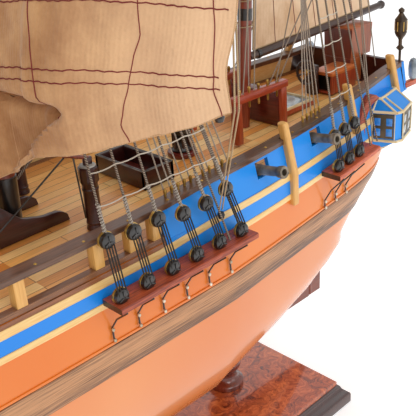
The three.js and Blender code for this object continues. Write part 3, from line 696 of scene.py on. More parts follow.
# %% [markdown]
# Rope for a model is laid up from fine thread: three strands twist round each other, one turn in about
# three diameters. A wave across the UV map, slanted, gives the strands. Brass and bronze are metals with
# fine scratches, and the black of the deadeyes is a thick lacquer.

# %% Rope, metal, lacquer and glass


def rope(name, light, dark, pitch_mm):
    """Laid rope; the pitch is the distance between strands."""
    finish, tree, shader = start_finish(name, 0.85)
    place = add_node(tree, "UVMap").outputs["UV"]
    slant = add_node(tree, "Mapping", {"Vector": place, "Rotation": (0, 0, 0.6)})
    strands = add_node(tree, "TexWave", {
        "Vector": slant.outputs["Vector"], "Scale": 0.314 / (pitch_mm * MM), "Distortion": 0.6, "Detail": 1})
    tones = add_node(tree, "ValToRGB", {"Fac": strands.outputs["Fac"]})
    colour_stops(tones, (0, dark), (1, light))
    lay_on(tree, shader, tones.outputs["Color"], strands.outputs["Fac"], 0.6)
    return finish


def smooth_coat(name, light, dark, roughness, coat=0.0, metallic=0.0, scale=120.0):
    """A plain finish with slight changes of tone and a faint unevenness."""
    finish, tree, shader = start_finish(name, roughness, coat, metallic)
    place = add_node(tree, "TexCoord").outputs["Object"]
    cloud = add_node(tree, "TexNoise", {"Vector": place, "Scale": scale, "Detail": 4})
    tones = add_node(tree, "ValToRGB", {"Fac": cloud.outputs[0]})
    colour_stops(tones, (0.35, dark), (0.65, light))
    lay_on(tree, shader, tones.outputs["Color"], cloud.outputs[0], 0.1)
    return finish


SHROUD_ROPE = rope("tarred shroud rope", "#A08E7C", "#3E342C", 1.1)
TAN_ROPE = rope("tan running rope", "#CDB089", "#8E7450", 0.6)
GREY_ROPE = rope("grey brown running rope", "#C2B2A0", "#6A5C50", 0.6)
WHITE_LINE = rope("pale ratline thread", "#E4DACA", "#AA9C88", 0.4)
BLACK_LINE = rope("black lanyard thread", "#3A342E", "#14110F", 0.4)
SERVING = rope("serving, grey thread", "#D8CCBE", "#5E554C", 0.5)
BRASS = smooth_coat("brass, aged", "#D8B060", "#96702E", 0.35, metallic=0.8)
NAIL_METAL = smooth_coat("nickel plated nail", "#E6DCC8", "#A89A80", 0.35, metallic=0.7)
LANTERN_METAL = smooth_coat("lantern metal, blackened", "#5A4836", "#241A14", 0.35, metallic=0.5)
BRONZE = smooth_coat("gun bronze, darkened", "#9A8C78", "#4A4034", 0.42, coat=0.2, metallic=0.45)
BLACK_LACQUER = smooth_coat("black lacquer", "#221D1A", "#0E0C0B", 0.28, coat=0.5)
CREAM = smooth_coat("cream paint, brushed", "#EBD9B4", "#D2B988", 0.45, scale=60)
BLUE_GLASS = smooth_coat("blue window pane", "#3A94E4", "#2478CC", 0.2, coat=0.6)
WINDOW_FRAME = smooth_coat("window frame, dark bronze paint", "#5E4E34", "#38301E", 0.4)
GREY_GLASS = smooth_coat("grey window pane", "#A9B4BC", "#6E7880", 0.12, coat=1.0)
STEEL_TRIM = smooth_coat("grey edge trim", "#8E8A86", "#55504C", 0.3, metallic=0.6)
FIFE_RED = wood("mahogany rail, gloss varnish", "#C4502C", "#8E3018", roughness=0.32, coat=0.35)
ORANGE_BOARD = wood("orange varnished board", "#D9793A", "#A8501E", roughness=0.35, coat=0.4)
print("ropes, metals and paints made")

# %% [markdown]
# The bulwark is a thin wall on the hull's edge: blue outside, varnished inside, with two square gun ports
# whose edges are blue too. It leans inboard like the real ship's side. The ports are cut with a boolean.
# Tan posts for swivel guns stand against it, and a dark walnut rail caps it and runs on over the open waist
# on square stanchions.

# %% Bulwarks, posts and the cap rail
GUN_X = [-154, -211]
SWIVEL_POSTS = [(-180, 198), (-257, 217.5), (-325, 203)]
STANCHION_X = [-66.8, -50.8, -28.5, 17.2, 62, 107, 152]
WALL_FOOT, WALL_TOP = 219.8, 237.7
# Aft of this the bulwark's inner faces are dark, like the transom's inner face.
DARK_INSIDE_X = -325


def wall(name, x0, x1, steps, ports=()):
    profile = [(0, WALL_FOOT), (0, WALL_TOP), (-3, WALL_TOP), (-3, WALL_FOOT)]
    piece = moulding(name, x0, x1, steps, profile)
    for x in ports:
        rise = sheer(x)
        cutter = block((x - 7, 45, 226.5 + rise), (x + 5, 95, 236.4 + rise), bevel=0)
        with_modifier(piece, "BOOLEAN", object=cutter, operation="DIFFERENCE", solver="EXACT")
        bpy.data.objects.remove(cutter)
    painted(piece, BLUE_PAINT, LIGHT_TRIM, DARK_POST)
    for face in piece.data.polygons:
        inside = 2 if face.center.x < DARK_INSIDE_X * MM else 1
        face.material_index = inside if face.normal.y < -0.5 else 0
    return smooth(piece, 30)


def leaning_post(x, wide, outer, depth, z0, z1, finish, bevel=0.5):
    """A post whose face leans with the side, standing off it by outer at the hull's top."""
    side = half_at(x, HULL_TOP) + outer
    rings = []
    for z in ([z0, HULL_TOP, z1] if z0 < HULL_TOP else [z0, z1]):
        face = side - TUMBLEHOME * max(0, z - HULL_TOP)
        y0, y1, h = face - depth, face, z + sheer(x)
        rings.append([(x - wide, y0, h), (x + wide, y0, h), (x + wide, y1, h), (x - wide, y1, h)])
    post = swept_board("post", rings)
    if bevel:
        with_modifier(post, "BEVEL", width=bevel * MM, segments=4, limit_method="ANGLE")
    return painted(smooth(post), finish)


def bulwark_side():
    parts = [wall("wall", TAFFRAIL_X + 3, BULWARK_FORE_X, 60, GUN_X)]
    parts += [leaning_post(x, 2.6, 4.5, 6, foot, 251.5, LIGHT_WOOD, 1.5) for x, foot in SWIVEL_POSTS]
    return joined("bulwark", parts)


RAIL_PROFILE = [(-3.5, 238.4), (-3.5, 241.1), (-3.9, 241.5), (-12.1, 241.5), (-12.5, 241.1), (-12.5, 238.4),
                (-12.1, 238), (-3.9, 238)]


def rail_drop(x):
    """How much lower the rail runs over the open waist."""
    return 0.9 * ramp(x, -71, -50) * (1 - ramp(x, 172, 195))


def rail_ring(x):
    """The rail's section: over the open waist it stands further out, and a little lower."""
    side = half_at(x, HULL_TOP) + 3.5 * ramp(x, -110, -74) * (1 - ramp(x, 196, 232))
    return [(x, side + y, z - rail_drop(x) + sheer(x)) for y, z in RAIL_PROFILE]


def cap_rail_side():
    rail = swept_board("rail", [rail_ring(mix(TAFFRAIL_X + 3, 374, i / 144)) for i in range(145)])
    for x, _ in SWIVEL_POSTS:
        notch = leaning_post(x, 2.9, 12.5, 14.6, 225, 260, RAIL_WOOD, 0)
        with_modifier(rail, "BOOLEAN", object=notch, operation="DIFFERENCE", solver="EXACT")
        bpy.data.objects.remove(notch)
    parts = [painted(smooth(rail), RAIL_WOOD)]
    for x in STANCHION_X:
        outer = half_at(x, HULL_TOP) - 0.5
        z = sheer(x)
        parts.append(block((x - 3, outer - 6, DECK_TOP + z), (x + 3, outer, 237.3 + z), LIGHT_WOOD, 0.4))
    for x in [-330 + 28.0 * k for k in range(25)]:
        y = (rail_ring(x)[0][1] + rail_ring(x)[5][1]) / 2 + 2
        top = (x, y, RAIL_TOP - rail_drop(x) + sheer(x))
        parts.append(turned([(0.9, -0.3), (0.9, 0), (0.6, 0.35), (0, 0.5)], top, BRASS, sides=10))
    return joined("cap_rail", parts)


pair(bulwark_side(), "planked_bulwark", "blue_paint", ["bulwark_%s"])
pair(wall("bow_wall", BOW_BULWARK_X, 374, 40), "planked_bow_bulwark", "blue_paint", ["bow_bulwark_%s"])
pair(cap_rail_side(), "walnut_cap_rail", "rail_wood", ["cap_rail_%s"])
print("rails, walls and posts made")

# %% [markdown]
# The deck is laid with narrow planks, each about five millimetres wide, with dark caulking between them and
# a short black line where two planks meet end to end. A brick pattern is just that, if its bricks are long
# and thin. The waterway along the side is a darker plank.

# %% Deck planks


def planks(name, light, dark, seam, wide_mm, long_mm, seam_mm):
    """Planks along X, with seams and butt joints, a grain of their own, and some planks pinker or browner."""
    finish, tree, shader = start_finish(name, 0.42, 0.25)
    place = add_node(tree, "TexCoord").outputs["Object"]
    brick = add_node(tree, "TexBrick", {
        "Vector": place, "Color1": linear(light), "Color2": linear(dark), "Mortar": linear(seam),
        "Scale": 1.0, "Mortar Size": seam_mm * MM, "Mortar Smooth": 0.3, "Bias": 0.0,
        "Brick Width": long_mm * MM, "Row Height": wide_mm * MM}, offset=0.38, offset_frequency=2)
    stretch = add_node(tree, "Mapping", {"Vector": place, "Scale": ALONG["X"]})
    grain = add_node(tree, "TexNoise", {"Vector": stretch.outputs["Vector"], "Scale": 1400, "Detail": 5})
    shade = add_node(tree, "MapRange", {"Value": grain.outputs[0], "To Min": 0.6, "To Max": 1.25})
    sets = add_node(tree, "Mapping", {"Vector": place, "Scale": (5, 1000 / wide_mm, 0)})
    steps = add_node(tree, "VectorMath", {0: sets.outputs["Vector"]}, operation="FLOOR")
    chance = add_node(tree, "TexWhiteNoise", {"Vector": steps.outputs["Vector"]}, noise_dimensions="3D")
    hues = add_node(tree, "ValToRGB", {"Fac": chance.outputs["Value"]})
    colour_stops(hues, (0, "#FFFFFF"), (0.95, "#DDB48C"), (0.5, "#FFE6D2"))
    times = dict(data_type="RGBA", blend_type="MULTIPLY")
    hue = add_node(tree, "Mix", {0: 1.0, 6: brick.outputs["Color"], 7: hues.outputs["Color"]}, **times)
    colour = add_node(tree, "Mix", {0: 1.0, 6: hue.outputs[2], 7: shade.outputs["Result"]}, **times)
    sunk = add_node(tree, "Math", {0: 1.0, 1: brick.outputs["Fac"]}, operation="SUBTRACT")
    lay_on(tree, shader, colour.outputs[2], sunk.outputs[0], 0.5)
    return finish


DECK_PLANKS = planks("deck planks, satin varnish", "#FFD894", "#FABE68", "#8A5A2C", 7.6, 95, 0.22)
WATERWAY_WOOD = wood("waterway plank", "#94603A", "#5E3820")
CAPSTAN_X = -156
DECK_AFT, DECK_FORE = -335, 364


def deck_row(x):
    in_waist = BULWARK_FORE_X + 0.3 < x < BOW_BULWARK_X - 0.3
    edge = max(6, half_at(x, HULL_TOP) - (0.3 if in_waist else 4.2))
    return [(x, edge * t, DECK_TOP + sheer(x)) for t in (1, 0.97, 0.8, 0.4, 0, -0.4, -0.8, -0.97, -1)]


EDGE_STEPS = [-71.71, -71.69, 195.69, 195.71]
deck_stations = sorted([mix(DECK_AFT, DECK_FORE, i / 80) for i in range(81)] + EDGE_STEPS)
deck_board = grid_sheet("deck_planking", [deck_row(x) for x in deck_stations])
in_edit(deck_board, face_outwards)
if deck_board.data.polygons[0].normal.z < 0:
    deck_board.data.flip_normals()
with_modifier(deck_board, "SOLIDIFY", thickness=2.4 * MM, offset=-1)
painted(smooth(deck_board, 30), DECK_PLANKS, WATERWAY_WOOD)
for face in deck_board.data.polygons:
    face.material_index = 0 if face.normal.z > 0.5 else 1
deck_parts = [deck_board]
for x0, x1, out in ((DECK_AFT, BULWARK_FORE_X, -3.2), (BULWARK_FORE_X, BOW_BULWARK_X, -0.4),
                    (BOW_BULWARK_X, DECK_FORE - 2, -3.2)):
    edge = [(out, 222.3), (out, 223.1), (out - 4.2, 223.1), (out - 5, 222.8), (out - 5, 222.3)]
    strip = painted(moulding("waterway", x0, x1, 50, edge, lean=False), WATERWAY_WOOD)
    deck_parts += [strip, mirrored(strip, "waterway")]
CAPSTAN_RING = [(9.7, 0), (9.9, 0.8), (9.9, 2.2), (9.5, 3), (5, 3)]
deck_parts.append(turned(CAPSTAN_RING, (CAPSTAN_X, 0, on_deck(CAPSTAN_X)), BOX_RED, sides=32))
fitting("deck_planking", "deck_planks", "deck", deck_parts)
print("deck laid with", len(deck_stations), "stations")

# %% [markdown]
# A channel is a shelf on the ship's side that spreads the shrouds. Each shroud ends in a pair of deadeyes:
# round black blocks with a thin brass rim behind them, laced together by black lanyards. From the shelf's
# lower edge a black wire leads in to the hull, and brass beads hold it there, down to the wale. One deadeye
# is modelled and copied to every place.

# %% Channels, deadeyes and chain plates
CHANNEL_KEYS = ("first", "step", "count", "x0", "x1", "width", "drop", "gaps")
CHANNELS = {
    "fore": (284, 16, 5, 212, 292, 16.5, 0, [24] * 5),
    "main": (-30, 17.6, 6, -126, -25, 16.5, 0, [30, 28, 28.5, 25, 24.5, 27]),
    "mizzen": (-219.5, 13.5, 3, -268, -213, 16, 5, [20] * 3),
}
# TOPMAST and TOPGALLANT say how far those lengths stand ahead of the lower mast. DOUBLING is their overlap.
MAST_KEYS = ("x", "rake", "lower_top", "topmast_top", "truck", "radius", "hounds")
MASTS = {
    "fore": (282, 1, 448, 612, 742, 7.0, 8),
    "main": (-24, 2, 468, 645, 790, 6.5, 8),
    "mizzen": (-215, 5, 421, 600, 640, 4.8, 16),
}
CHANNELS = {name: dict(zip(CHANNEL_KEYS, row)) for name, row in CHANNELS.items()}
MASTS = {name: dict(zip(MAST_KEYS, row)) for name, row in MASTS.items()}
TOPMAST, TOPGALLANT = 10, 17
DOUBLING = 34


def raked(mast, z):
    return mast["x"] - math.tan(math.radians(mast["rake"])) * (z - DECK_TOP)


def mast_at(name, z, ahead=0.0):
    """A point of the ship's middle plane at a mast, or ahead of it."""
    return raked(MASTS[name], z) + ahead, 0, z


def deadeye_model():
    body = turned([(0.3, -2.1), (3.4, -2.1), (4.3, -1.2), (4.4, 0.8), (3.9, 1.7), (2.6, 2.2), (0.3, 2.4)],
                  (0, 0, 0), BLACK_LACQUER, (0, 1, 0), 20)
    strap = turned([(4.2, -2.0), (4.65, -1.9), (4.65, -0.7), (4.3, -0.6)], (0, 0, 0), BRASS, (0, 1, 0), 20)
    ridges = []
    for k in range(3):
        bar = block((-0.4, 1.9, 0.4), (0.4, 2.8, 3.3), BLACK_LACQUER, 0.15)
        bar.data.transform(Matrix.Rotation(k * 2 * math.pi / 3, 4, "Y"))
        ridges.append(bar)
    return joined("deadeye", [body, strap] + ridges)


def shroud_line(channel, i):
    """The lower deadeye's centre, the upper one's, and the masthead, for one shroud on the port side."""
    spec = CHANNELS[channel]
    mast = MASTS[channel]
    x = spec["first"] - spec["step"] * i
    low = Vector((x, half_at(x, CHANNEL_LEVEL) + 10.5, 211 + sheer(x)))
    top_z = mast["topmast_top"] - mast["hounds"]
    head = Vector((raked(mast, top_z) + 8 - i * 0.8, 2.0, top_z))
    return low, low + (head - low).normalized() * spec["gaps"][i], head


def channel_side(name):
    spec = CHANNELS[name]
    shelf_rings = []
    first, last = half_at(spec["x0"], CHANNEL_LEVEL), half_at(spec["x1"], CHANNEL_LEVEL)
    for i in range(25):
        x = mix(spec["x0"], spec["x1"], i / 24)
        root, tip = half_at(x, CHANNEL_LEVEL) + 0.9, mix(first, last, i / 24) + spec["width"]
        shelf_rings.append([(x, y, z + sheer(x)) for y, z in (
            (root, 204), (tip - 0.6, 204), (tip, 204.6), (tip, 206.9), (tip - 0.6, 207.5), (root, 207.5))])
    shelf = painted(swept_board("shelf", shelf_rings), CHANNEL_WOOD, DARK_POST)
    for face in shelf.data.polygons:
        face.material_index = 1 if abs(face.normal.x) > 0.8 else 0
    lows = [shroud_line(name, i)[0] for i in range(spec["count"])]
    parts = [shelf, copies(deadeye_model(), "eyes", [shifted(*low) for low in lows])]
    for low in lows:
        x = low.x + 2
        bar_top, bar_foot = 189 - spec["drop"], 181 - spec["drop"] / 2
        edge = Vector((low.x + 1.5, low.y + 5.4, 203.6 + sheer(low.x)))
        side = Vector((x, half_at(x, bar_top) + 0.9, bar_top + sheer(low.x)))
        foot = Vector((x, half_at(x, bar_foot) + 1.3, bar_foot + sheer(low.x)))
        elbow = edge.lerp(side, 0.62) + Vector((0, -0.6, 1.6))
        bend = side.lerp(foot, 0.3)
        for p, q in ((edge, elbow), (elbow, side), (side, bend), (bend, foot)):
            parts.append(between(p, q, [(0.3, -0.02), (0.52, 0), (0.52, 1), (0.3, 1.02)], BLACK_LACQUER, 8))
        for t in (0.12, 0.92):
            bead = [(0.3, -1.2), (0.8, -0.8), (1.0, 0), (0.8, 0.8), (0.3, 1.2)]
            spot = side.lerp(foot, t) + Vector((0, 0.7, 0))
            parts.append(turned(bead, spot, NAIL_METAL, foot - side, 10))
    return joined("channel", parts)


for channel in CHANNELS:
    pair(channel_side(channel), "channel_shelf_" + channel, "channel_wood", ["channel_" + channel + "_%s"])
print("channels fitted")

# %% [markdown]
# The standing rigging is taut, so each shroud is a straight rope from its upper deadeye to the topmast's
# head, wrapped with thick thread near the deadeye. Pale ratlines cross the shrouds as steps and sag a
# little between them, and four lanyards lace each pair of deadeyes. Ropes are made as runs of points and
# mirrored by their Y.

# %% Shrouds, ratlines and lanyards


def both(runs):
    """The same runs on the port and the starboard side."""
    return runs + [[(x, -y, z) for x, y, z in run] for run in runs]


def serving(high, away):
    """Thread wound round a shroud above its deadeye: ten turns of six points each."""
    side = Vector((1, 0, 0))
    front = away.cross(side).normalized()
    wound = []
    for n in range(61):
        turn = n * 2 * math.pi / 6
        wound.append(high + away * (3.5 + 0.26 * n) + 0.8 * (math.cos(turn) * side + math.sin(turn) * front))
    return wound


def ratline(row):
    """One step across the shrouds, sagging between them."""
    step = []
    for a, b in zip(row, row[1:]):
        step += [a.lerp(b, t) - Vector((0, 0, 3.2 * t * (1 - t))) for t in (0, 0.25, 0.5, 0.75)]
    return step + [row[-1]]


for channel, spec in CHANNELS.items():
    shrouds, served, lanyards, ratlines, uppers = [], [], [], [], []
    lines = [shroud_line(channel, i) for i in range(spec["count"])]
    for low, high, head in lines:
        shrouds.append([high, head])
        served.append(serving(high, (head - high).normalized()))
        for k in (-2.4, -0.8, 0.8, 2.4):
            lanyards.append([low + Vector((k, 1.9, 1.2)), high + Vector((k, 1.9, -1.2))])
        uppers += [shifted(*high), shifted(high.x, -high.y, high.z)]
    for k in range(16):
        z = 258 + 16.5 * k
        row = [high.lerp(head, (z - high.z) / (head.z - high.z)) + Vector((0, 1.0, 0))
               for low, high, head in lines]
        if (row[0] - row[-1]).length >= 11 and z <= MASTS[channel]["lower_top"] - 20:
            ratlines.append(ratline(row))
    ropes("shrouds_" + channel, both(shrouds), 0.65, SHROUD_ROPE)
    ropes("served_" + channel, both(served), 0.5, SERVING, sides=5)
    ropes("lanyards_" + channel, both(lanyards), 0.42, BLACK_LINE, sides=5)
    ropes("ratlines_" + channel, both(ratlines), 0.35, WHITE_LINE, sides=5)
    eyes = "upper_deadeyes_" + channel
    fitting(eyes, "black_wood", None, [copies(deadeye_model(), eyes, uppers)])
print("shrouds set up")

# %% [markdown]
# The sails are thin tan cotton, stiffened with glue. Crumples of about a centimetre cover the cloth, and
# they are drawn as relief in the finish, with painted shade in their hollows. Painted light makes the cloth
# paler towards the sail's edges. The weave is too fine to show, so it is drawn a few times coarser, as two
# crossed waves on the UV map. Dark red thread runs along the reef bands and down the seams.

# %% Sail cloth


def sail_cloth(name, light, dark, edge, crumple=1.0):
    """Woven cotton dyed tan: crumpled, with painted shade in the hollows and painted light at the edges, its
    weave drawn coarse.
    """
    finish, tree, shader = start_finish(name, 0.92)
    shader.inputs["Sheen Weight"].default_value = 0.2
    place = add_node(tree, "TexCoord").outputs["Object"]
    hang = add_node(tree, "Mapping", {"Vector": place, "Scale": (1, 1, 0.75)})
    cloud = add_node(tree, "TexNoise", {
        "Vector": hang.outputs["Vector"], "Scale": 40, "Detail": 8, "Roughness": 0.62})
    # Painted shade: the cloth's tone follows the crumples' noise, and is darker in their hollows.
    tones = add_node(tree, "ValToRGB", {"Fac": cloud.outputs[0]})
    colour_stops(tones, (0.34, dark), (0.6, light))
    creases = add_node(tree, "Bump", {"Strength": crumple, "Distance": 0.0022, "Height": cloud.outputs[0]})
    along = add_node(tree, "UVMap").outputs["UV"]
    thread = {"Vector": along, "Scale": 190, "Distortion": 0.5}
    warp, weft = [add_node(tree, "TexWave", thread, bands_direction=way) for way in "XY"]
    weave = add_node(tree, "Math", {0: warp.outputs["Fac"], 1: weft.outputs["Fac"]}, operation="ADD")
    bump = add_node(tree, "Bump", {"Strength": 0.4, "Distance": PORE_DEPTH, "Height": weave.outputs[0],
                                             "Normal": creases.outputs["Normal"]})
    across = add_node(tree, "SeparateXYZ", {"Vector": along})
    outward = add_node(tree, "Math", {0: across.outputs["X"]}, operation="ABSOLUTE")
    # Painted light: towards the sail's edges the cloth turns to the lighter edge colour.
    painted_edge_light = add_node(tree, "MapRange", {
        "Value": outward.outputs[0], "From Min": 0.1, "From Max": 0.165, "To Min": 0.0, "To Max": 0.8})
    colour = add_node(tree, "Mix", {
        0: painted_edge_light.outputs["Result"], 6: tones.outputs["Color"], 7: linear(edge)}, data_type="RGBA")
    tree.links.new(colour.outputs[2], shader.inputs["Base Color"])
    tree.links.new(bump.outputs["Normal"], shader.inputs["Normal"])
    return finish


# The dark stop is painted shade in the crumples' hollows; the third colour is painted light at the sail's
# edges.
SAIL_CLOTH = sail_cloth("tan cotton sail", "#CC9C6A", "#A06C3E", "#F0C8A0")
PALE_CLOTH = sail_cloth("pale cotton spanker", "#EACBA8", "#CFA67E", "#EBD0B2", 0.6)
RED_THREAD = rope("dark red thread", "#9A2C2C", "#4E1214", 0.5)
HEM_ROPE = rope("hem rope in the sail's colour", "#D8AE84", "#B48A60", 0.6)
print("sail cloth woven")

# %% [markdown]
# The glued cloth keeps its folds and its belly. A square sail is a grid laid between its yard and its
# clews, with noise for the folds. The main course is gathered at its foot: a deep pleat hangs beside the
# mast, and the middle of the sail lies behind it, so its foot, belly, seams and thread have curves of their
# own.

# %% The shape of the square sails
SAIL_THICK = 0.9
BRACE = math.radians(10)

SAIL_KEYS = ("node", "mast", "z", "half", "foot", "foot_half", "belly", "ahead", "r")
SAILS = [dict(zip(SAIL_KEYS, row)) for row in (
    ("fore_course", "fore", 402, 152, 300, 148, 34, 10.4, 4),
    ("fore_topsail", "fore", 556, 112, 420, 146, 26, 17.2, 3),
    ("fore_topgallant", "fore", 668, 76, 576, 104, 18, 21.6, 2.2),
    ("main_course", "main", 424, 172, 320, 164, 41, 9.8, 4.4),
    ("main_topsail", "main", 590, 124, 442, 164, 28, 16.7, 3.2),
    ("main_topgallant", "main", 712, 84, 610, 116, 20, 22, 2.4),
    ("mizzen_topsail", "mizzen", 545, 88, 430, 112, 20, 15.8, 2.6),
)]

# The main course, from the middle out to the clew: how high its foot hangs, how far it bellies ahead, how
# high its lower row of thread is, and where its pleat, its crease and its seams are.
COURSE_FOOT = [(0, 264), (0.2, 269), (0.34, 279), (0.41, 285.5), (0.49, 293), (0.54, 297), (0.62, 299.6),
               (0.7, 301.6), (0.78, 305.8), (0.84, 308.5), (0.91, 312), (1, 318.5)]
COURSE_BELLY = [(0, 32), (0.37, 33), (0.5, 34), (0.545, 38.5), (0.65, 37), (0.74, 27), (0.84, 16), (1, 4.4)]
COURSE_ROW = [(0, 330), (0.41, 333), (0.58, 336.4), (0.68, 336.8), (0.76, 335.7), (0.86, 333.8), (1, 332)]
PLEAT_FOOT, PLEAT_RISE, PLEAT_TOP = 297.6, 18.8, 320
CREASE_Z = 318.5
COURSE_SEAMS = [
    [(362, 0.546), (347, 0.568), (336, 0.578), (325, 0.588), (319.7, 0.603), (316.4, 0.637)],
    [(362, 0.797), (349, 0.807), (341, 0.798), (329, 0.792), (319, 0.78), (313, 0.772), (305.9, 0.782)],
    [(420, 0.95), (361.5, 0.952), (350, 0.96), (332, 0.974), (327, 0.97), (316.8, 0.981)],
]


def eased(points, at):
    """A smooth value between (place, value) pairs."""
    for (a, low), (b, high) in zip(points, points[1:]):
        if at <= b:
            t = clamp01((at - a) / (b - a))
            return mix(low, high, t * t * (3 - 2 * t) * 0.5 + t * 0.5)
    return points[-1][1]


def foot_height(spec, across):
    if spec["node"] == "main_course":
        return eased(COURSE_FOOT, abs(across))
    return spec["foot"] - 10 * (1 - across * across)


def sail_point(spec, across, down, proud=0.0):
    """A point of a square sail: across from -1 to 1, down from the yard at 0 to the foot at 1."""
    side = abs(across)
    half = mix(spec["half"], spec["foot_half"], down)
    z = mix(spec["z"] - spec["r"] - 0.35, foot_height(spec, across), down)
    full = math.sin(math.pi * 0.62 * down)
    loose = math.sin(math.pi * min(1, down * 1.2)) * (1 - across**6)
    spot = Vector((across * 3.1 + spec["z"], down * 1.3, 0.37))
    fold = 2.6 * noise.noise(spot) + 1.1 * noise.noise(spot * 2.7 + Vector((0, 0, 3)))
    if spec["node"] == "main_course":
        half -= 3.5 * side**3 * math.exp(-((down - 0.84) / 0.12) ** 2)
        bulge = eased(COURSE_BELLY, side) * full
        flap = mix(0.496, 0.637, (z - PLEAT_FOOT) / PLEAT_RISE)
        behind = clamp01((flap - side) / 0.014) * clamp01((PLEAT_TOP - z) / 3) * clamp01((side - 0.1) / 0.25)
        crease = math.exp(-(((z - CREASE_Z) / 3.2) ** 2)) * clamp01((0.66 - side) / 0.05)
        bulge -= 10 * behind + 8 * crease
        fold = 1.1 * noise.noise(spot * 1.7) + 0.9 * noise.noise(spot * 4.1) + 0.35 * noise.noise(spot * 11)
        fold -= 2.2 * math.exp(-(((side - 0.86) / 0.035) ** 2)) * clamp01((0.9 - down) / 0.2)
    else:
        bulge = spec["belly"] * full * (1 - 0.85 * across**4)
    y = across * half
    x = raked(MASTS[spec["mast"]], z) + spec["ahead"] + bulge + fold * loose + proud - y * math.sin(BRACE)
    return x, y * math.cos(BRACE), z


def down_to(spec, across, height):
    """How far down the sail a height lies."""
    top = spec["z"] - spec["r"] - 0.35
    return (top - height) / (top - foot_height(spec, across))


def square_sail(spec):
    columns, rows = (220, 64) if spec["node"] == "main_course" else (96, 48)
    across = [mix(-1, 1, j / columns) for j in range(columns + 1)]
    high = spec["z"] - spec["foot"]
    grid = [[sail_point(spec, a, i / rows) for a in across] for i in range(rows + 1)]
    uvs = [[(a * spec["half"] * MM, high * (i / rows) * MM) for a in across] for i in range(rows + 1)]
    sail = grid_sheet(spec["node"] + "_cloth", grid, uvs)
    with_modifier(sail, "SOLIDIFY", thickness=SAIL_THICK * MM, offset=0)
    smooth(sail, 60)
    return belongs(painted(sail, SAIL_CLOTH), "sailcloth", "ship", spec["node"] + "_sail")


print(len(SAILS), "square sails drawn")

# %% [markdown]
# Stitches show on both faces, so a thread is a thin rope laid just proud of the cloth. Each yard is one
# turned spar with black bands. Then every sail is made with its yard, its thread and the rope in its hem.

# %% Thread, yards and bending on the sails
THREAD_PROUD, SEAM_PROUD = 0.6, 0.55


def sail_line(spec, points, proud):
    return [sail_point(spec, a, d, proud) for a, d in points]


def thread_row(spec, height):
    """Thread along one level of the sail, on both faces, a little unsteady as hand stitches are."""
    runs = []
    for face in (THREAD_PROUD, -THREAD_PROUD):
        points = []
        for j in range(241):
            across = (j / 120 - 1) * 0.985
            wander = 0.22 * math.sin(1.9 * j) + 0.3 * noise.noise(Vector((across * 9, height * 0.1, 0)))
            at = eased(COURSE_ROW, abs(across)) + height if spec["node"] == "main_course" else height
            points.append(sail_point(spec, across, down_to(spec, across, at + wander), face))
        runs.append(points)
    return runs


def course_seam(spec, heights, side):
    """A seam of the main course, through its (height, across) pairs, from the top down."""
    points = []
    for k in range(61):
        z = mix(max(heights[0][0], 419), heights[-1][0], k / 60)
        across = side * eased([(-h, a) for h, a in heights], max(-z, -heights[0][0]))
        points.append(sail_point(spec, across, down_to(spec, across, z), SEAM_PROUD))
    return points


def yard_piece(spec):
    arm, middle, r = spec["half"] + 8, 0.3 * spec["half"], spec["r"]
    centre = Vector(mast_at(spec["mast"], spec["z"], spec["ahead"]))
    along = Vector((-math.sin(BRACE), math.cos(BRACE), 0))
    profile = [(r * 0.5, -arm), (r * 0.62, -arm + 3), (r * 0.6, -arm + 12), (r, -middle), (r, middle),
               (r * 0.6, arm - 12), (r * 0.62, arm - 3), (r * 0.5, arm)]
    parts = [turned(profile, centre, SPAR_WOOD, along, 18)]
    for d in (-arm + 14, -middle, -8, 8, middle, arm - 14):
        width = r * (1.06 if abs(d) <= middle + 1 else 0.72)
        band = [(width, -1.2), (width + 0.3, -0.8), (width + 0.3, 0.8), (width, 1.2)]
        parts.append(turned(band, centre + along * d, BLACK_LACQUER, along, 16))
    fitting(spec["node"] + "_spar", "spar_wood", spec["node"] + "_yard", parts)


def declare_sail(sail, wide, high, *hung_from):
    """Turns the width and height a sail was cut to into metres, and keeps nothing.
    The sail and hung_from are not used.
    """
    wide, high = wide * MM, high * MM


for spec in SAILS:
    node = spec["node"]
    sail = square_sail(spec)
    yard_piece(spec)
    threads = []
    drop = spec["z"] - spec["foot"]
    if node == "main_course":
        for height in (30.8, 26, 0, -4.9):
            threads += thread_row(spec, height)
        for heights in COURSE_SEAMS:
            threads += [course_seam(spec, heights, side) for side in (-1, 1)]
    else:
        for band in (0.56, 0.61, 0.84, 0.89):
            threads += thread_row(spec, spec["z"] - band * drop)
        for a in (-0.97, -0.78, -0.57, 0.57, 0.78, 0.97):
            threads.append(sail_line(spec, [(a, d / 48) for d in range(49)], SEAM_PROUD))
    downs = [d / 24 for d in range(25)]
    seams = [sail_line(spec, [(a, d) for d in downs], 0.3) for a in (-0.36, 0.36)]
    foot = [(j / 240 * 2 - 1, 1) for j in range(2, 241, 4)]
    edge = [(-1, d) for d in downs] + foot + [(1, 1 - d) for d in downs]
    ropes(node + "_thread", threads, 0.29, RED_THREAD, slot="sailcloth", sides=4)
    ropes(node + "_seams", seams, 0.28, SAIL_CLOTH, slot="sailcloth", sides=4)
    ropes(node + "_boltrope", [sail_line(spec, edge, 0)], 0.5, HEM_ROPE)
    declare_sail(sail, 2 * max(spec["half"], spec["foot_half"]), drop + 60, node + "_spar")
print("square sails bent on")

# %% [markdown]
# The masts are turned from dark red wood, in three lengths, and each length stands ahead of the one below.
# Black bands hold them. A top, which is a half round platform, and a cap hold the lengths together.

# %% Masts and bowsprit
# Black bands: the height where each starts, and its width.
MAST_BANDS = {
    "fore": [(224, 10), (290, 3), (330, 3), (370, 3)],
    "main": [(224, 31), (290, 3), (330, 3), (370, 3)],
    "mizzen": [(300, 8), (352, 3)],
}


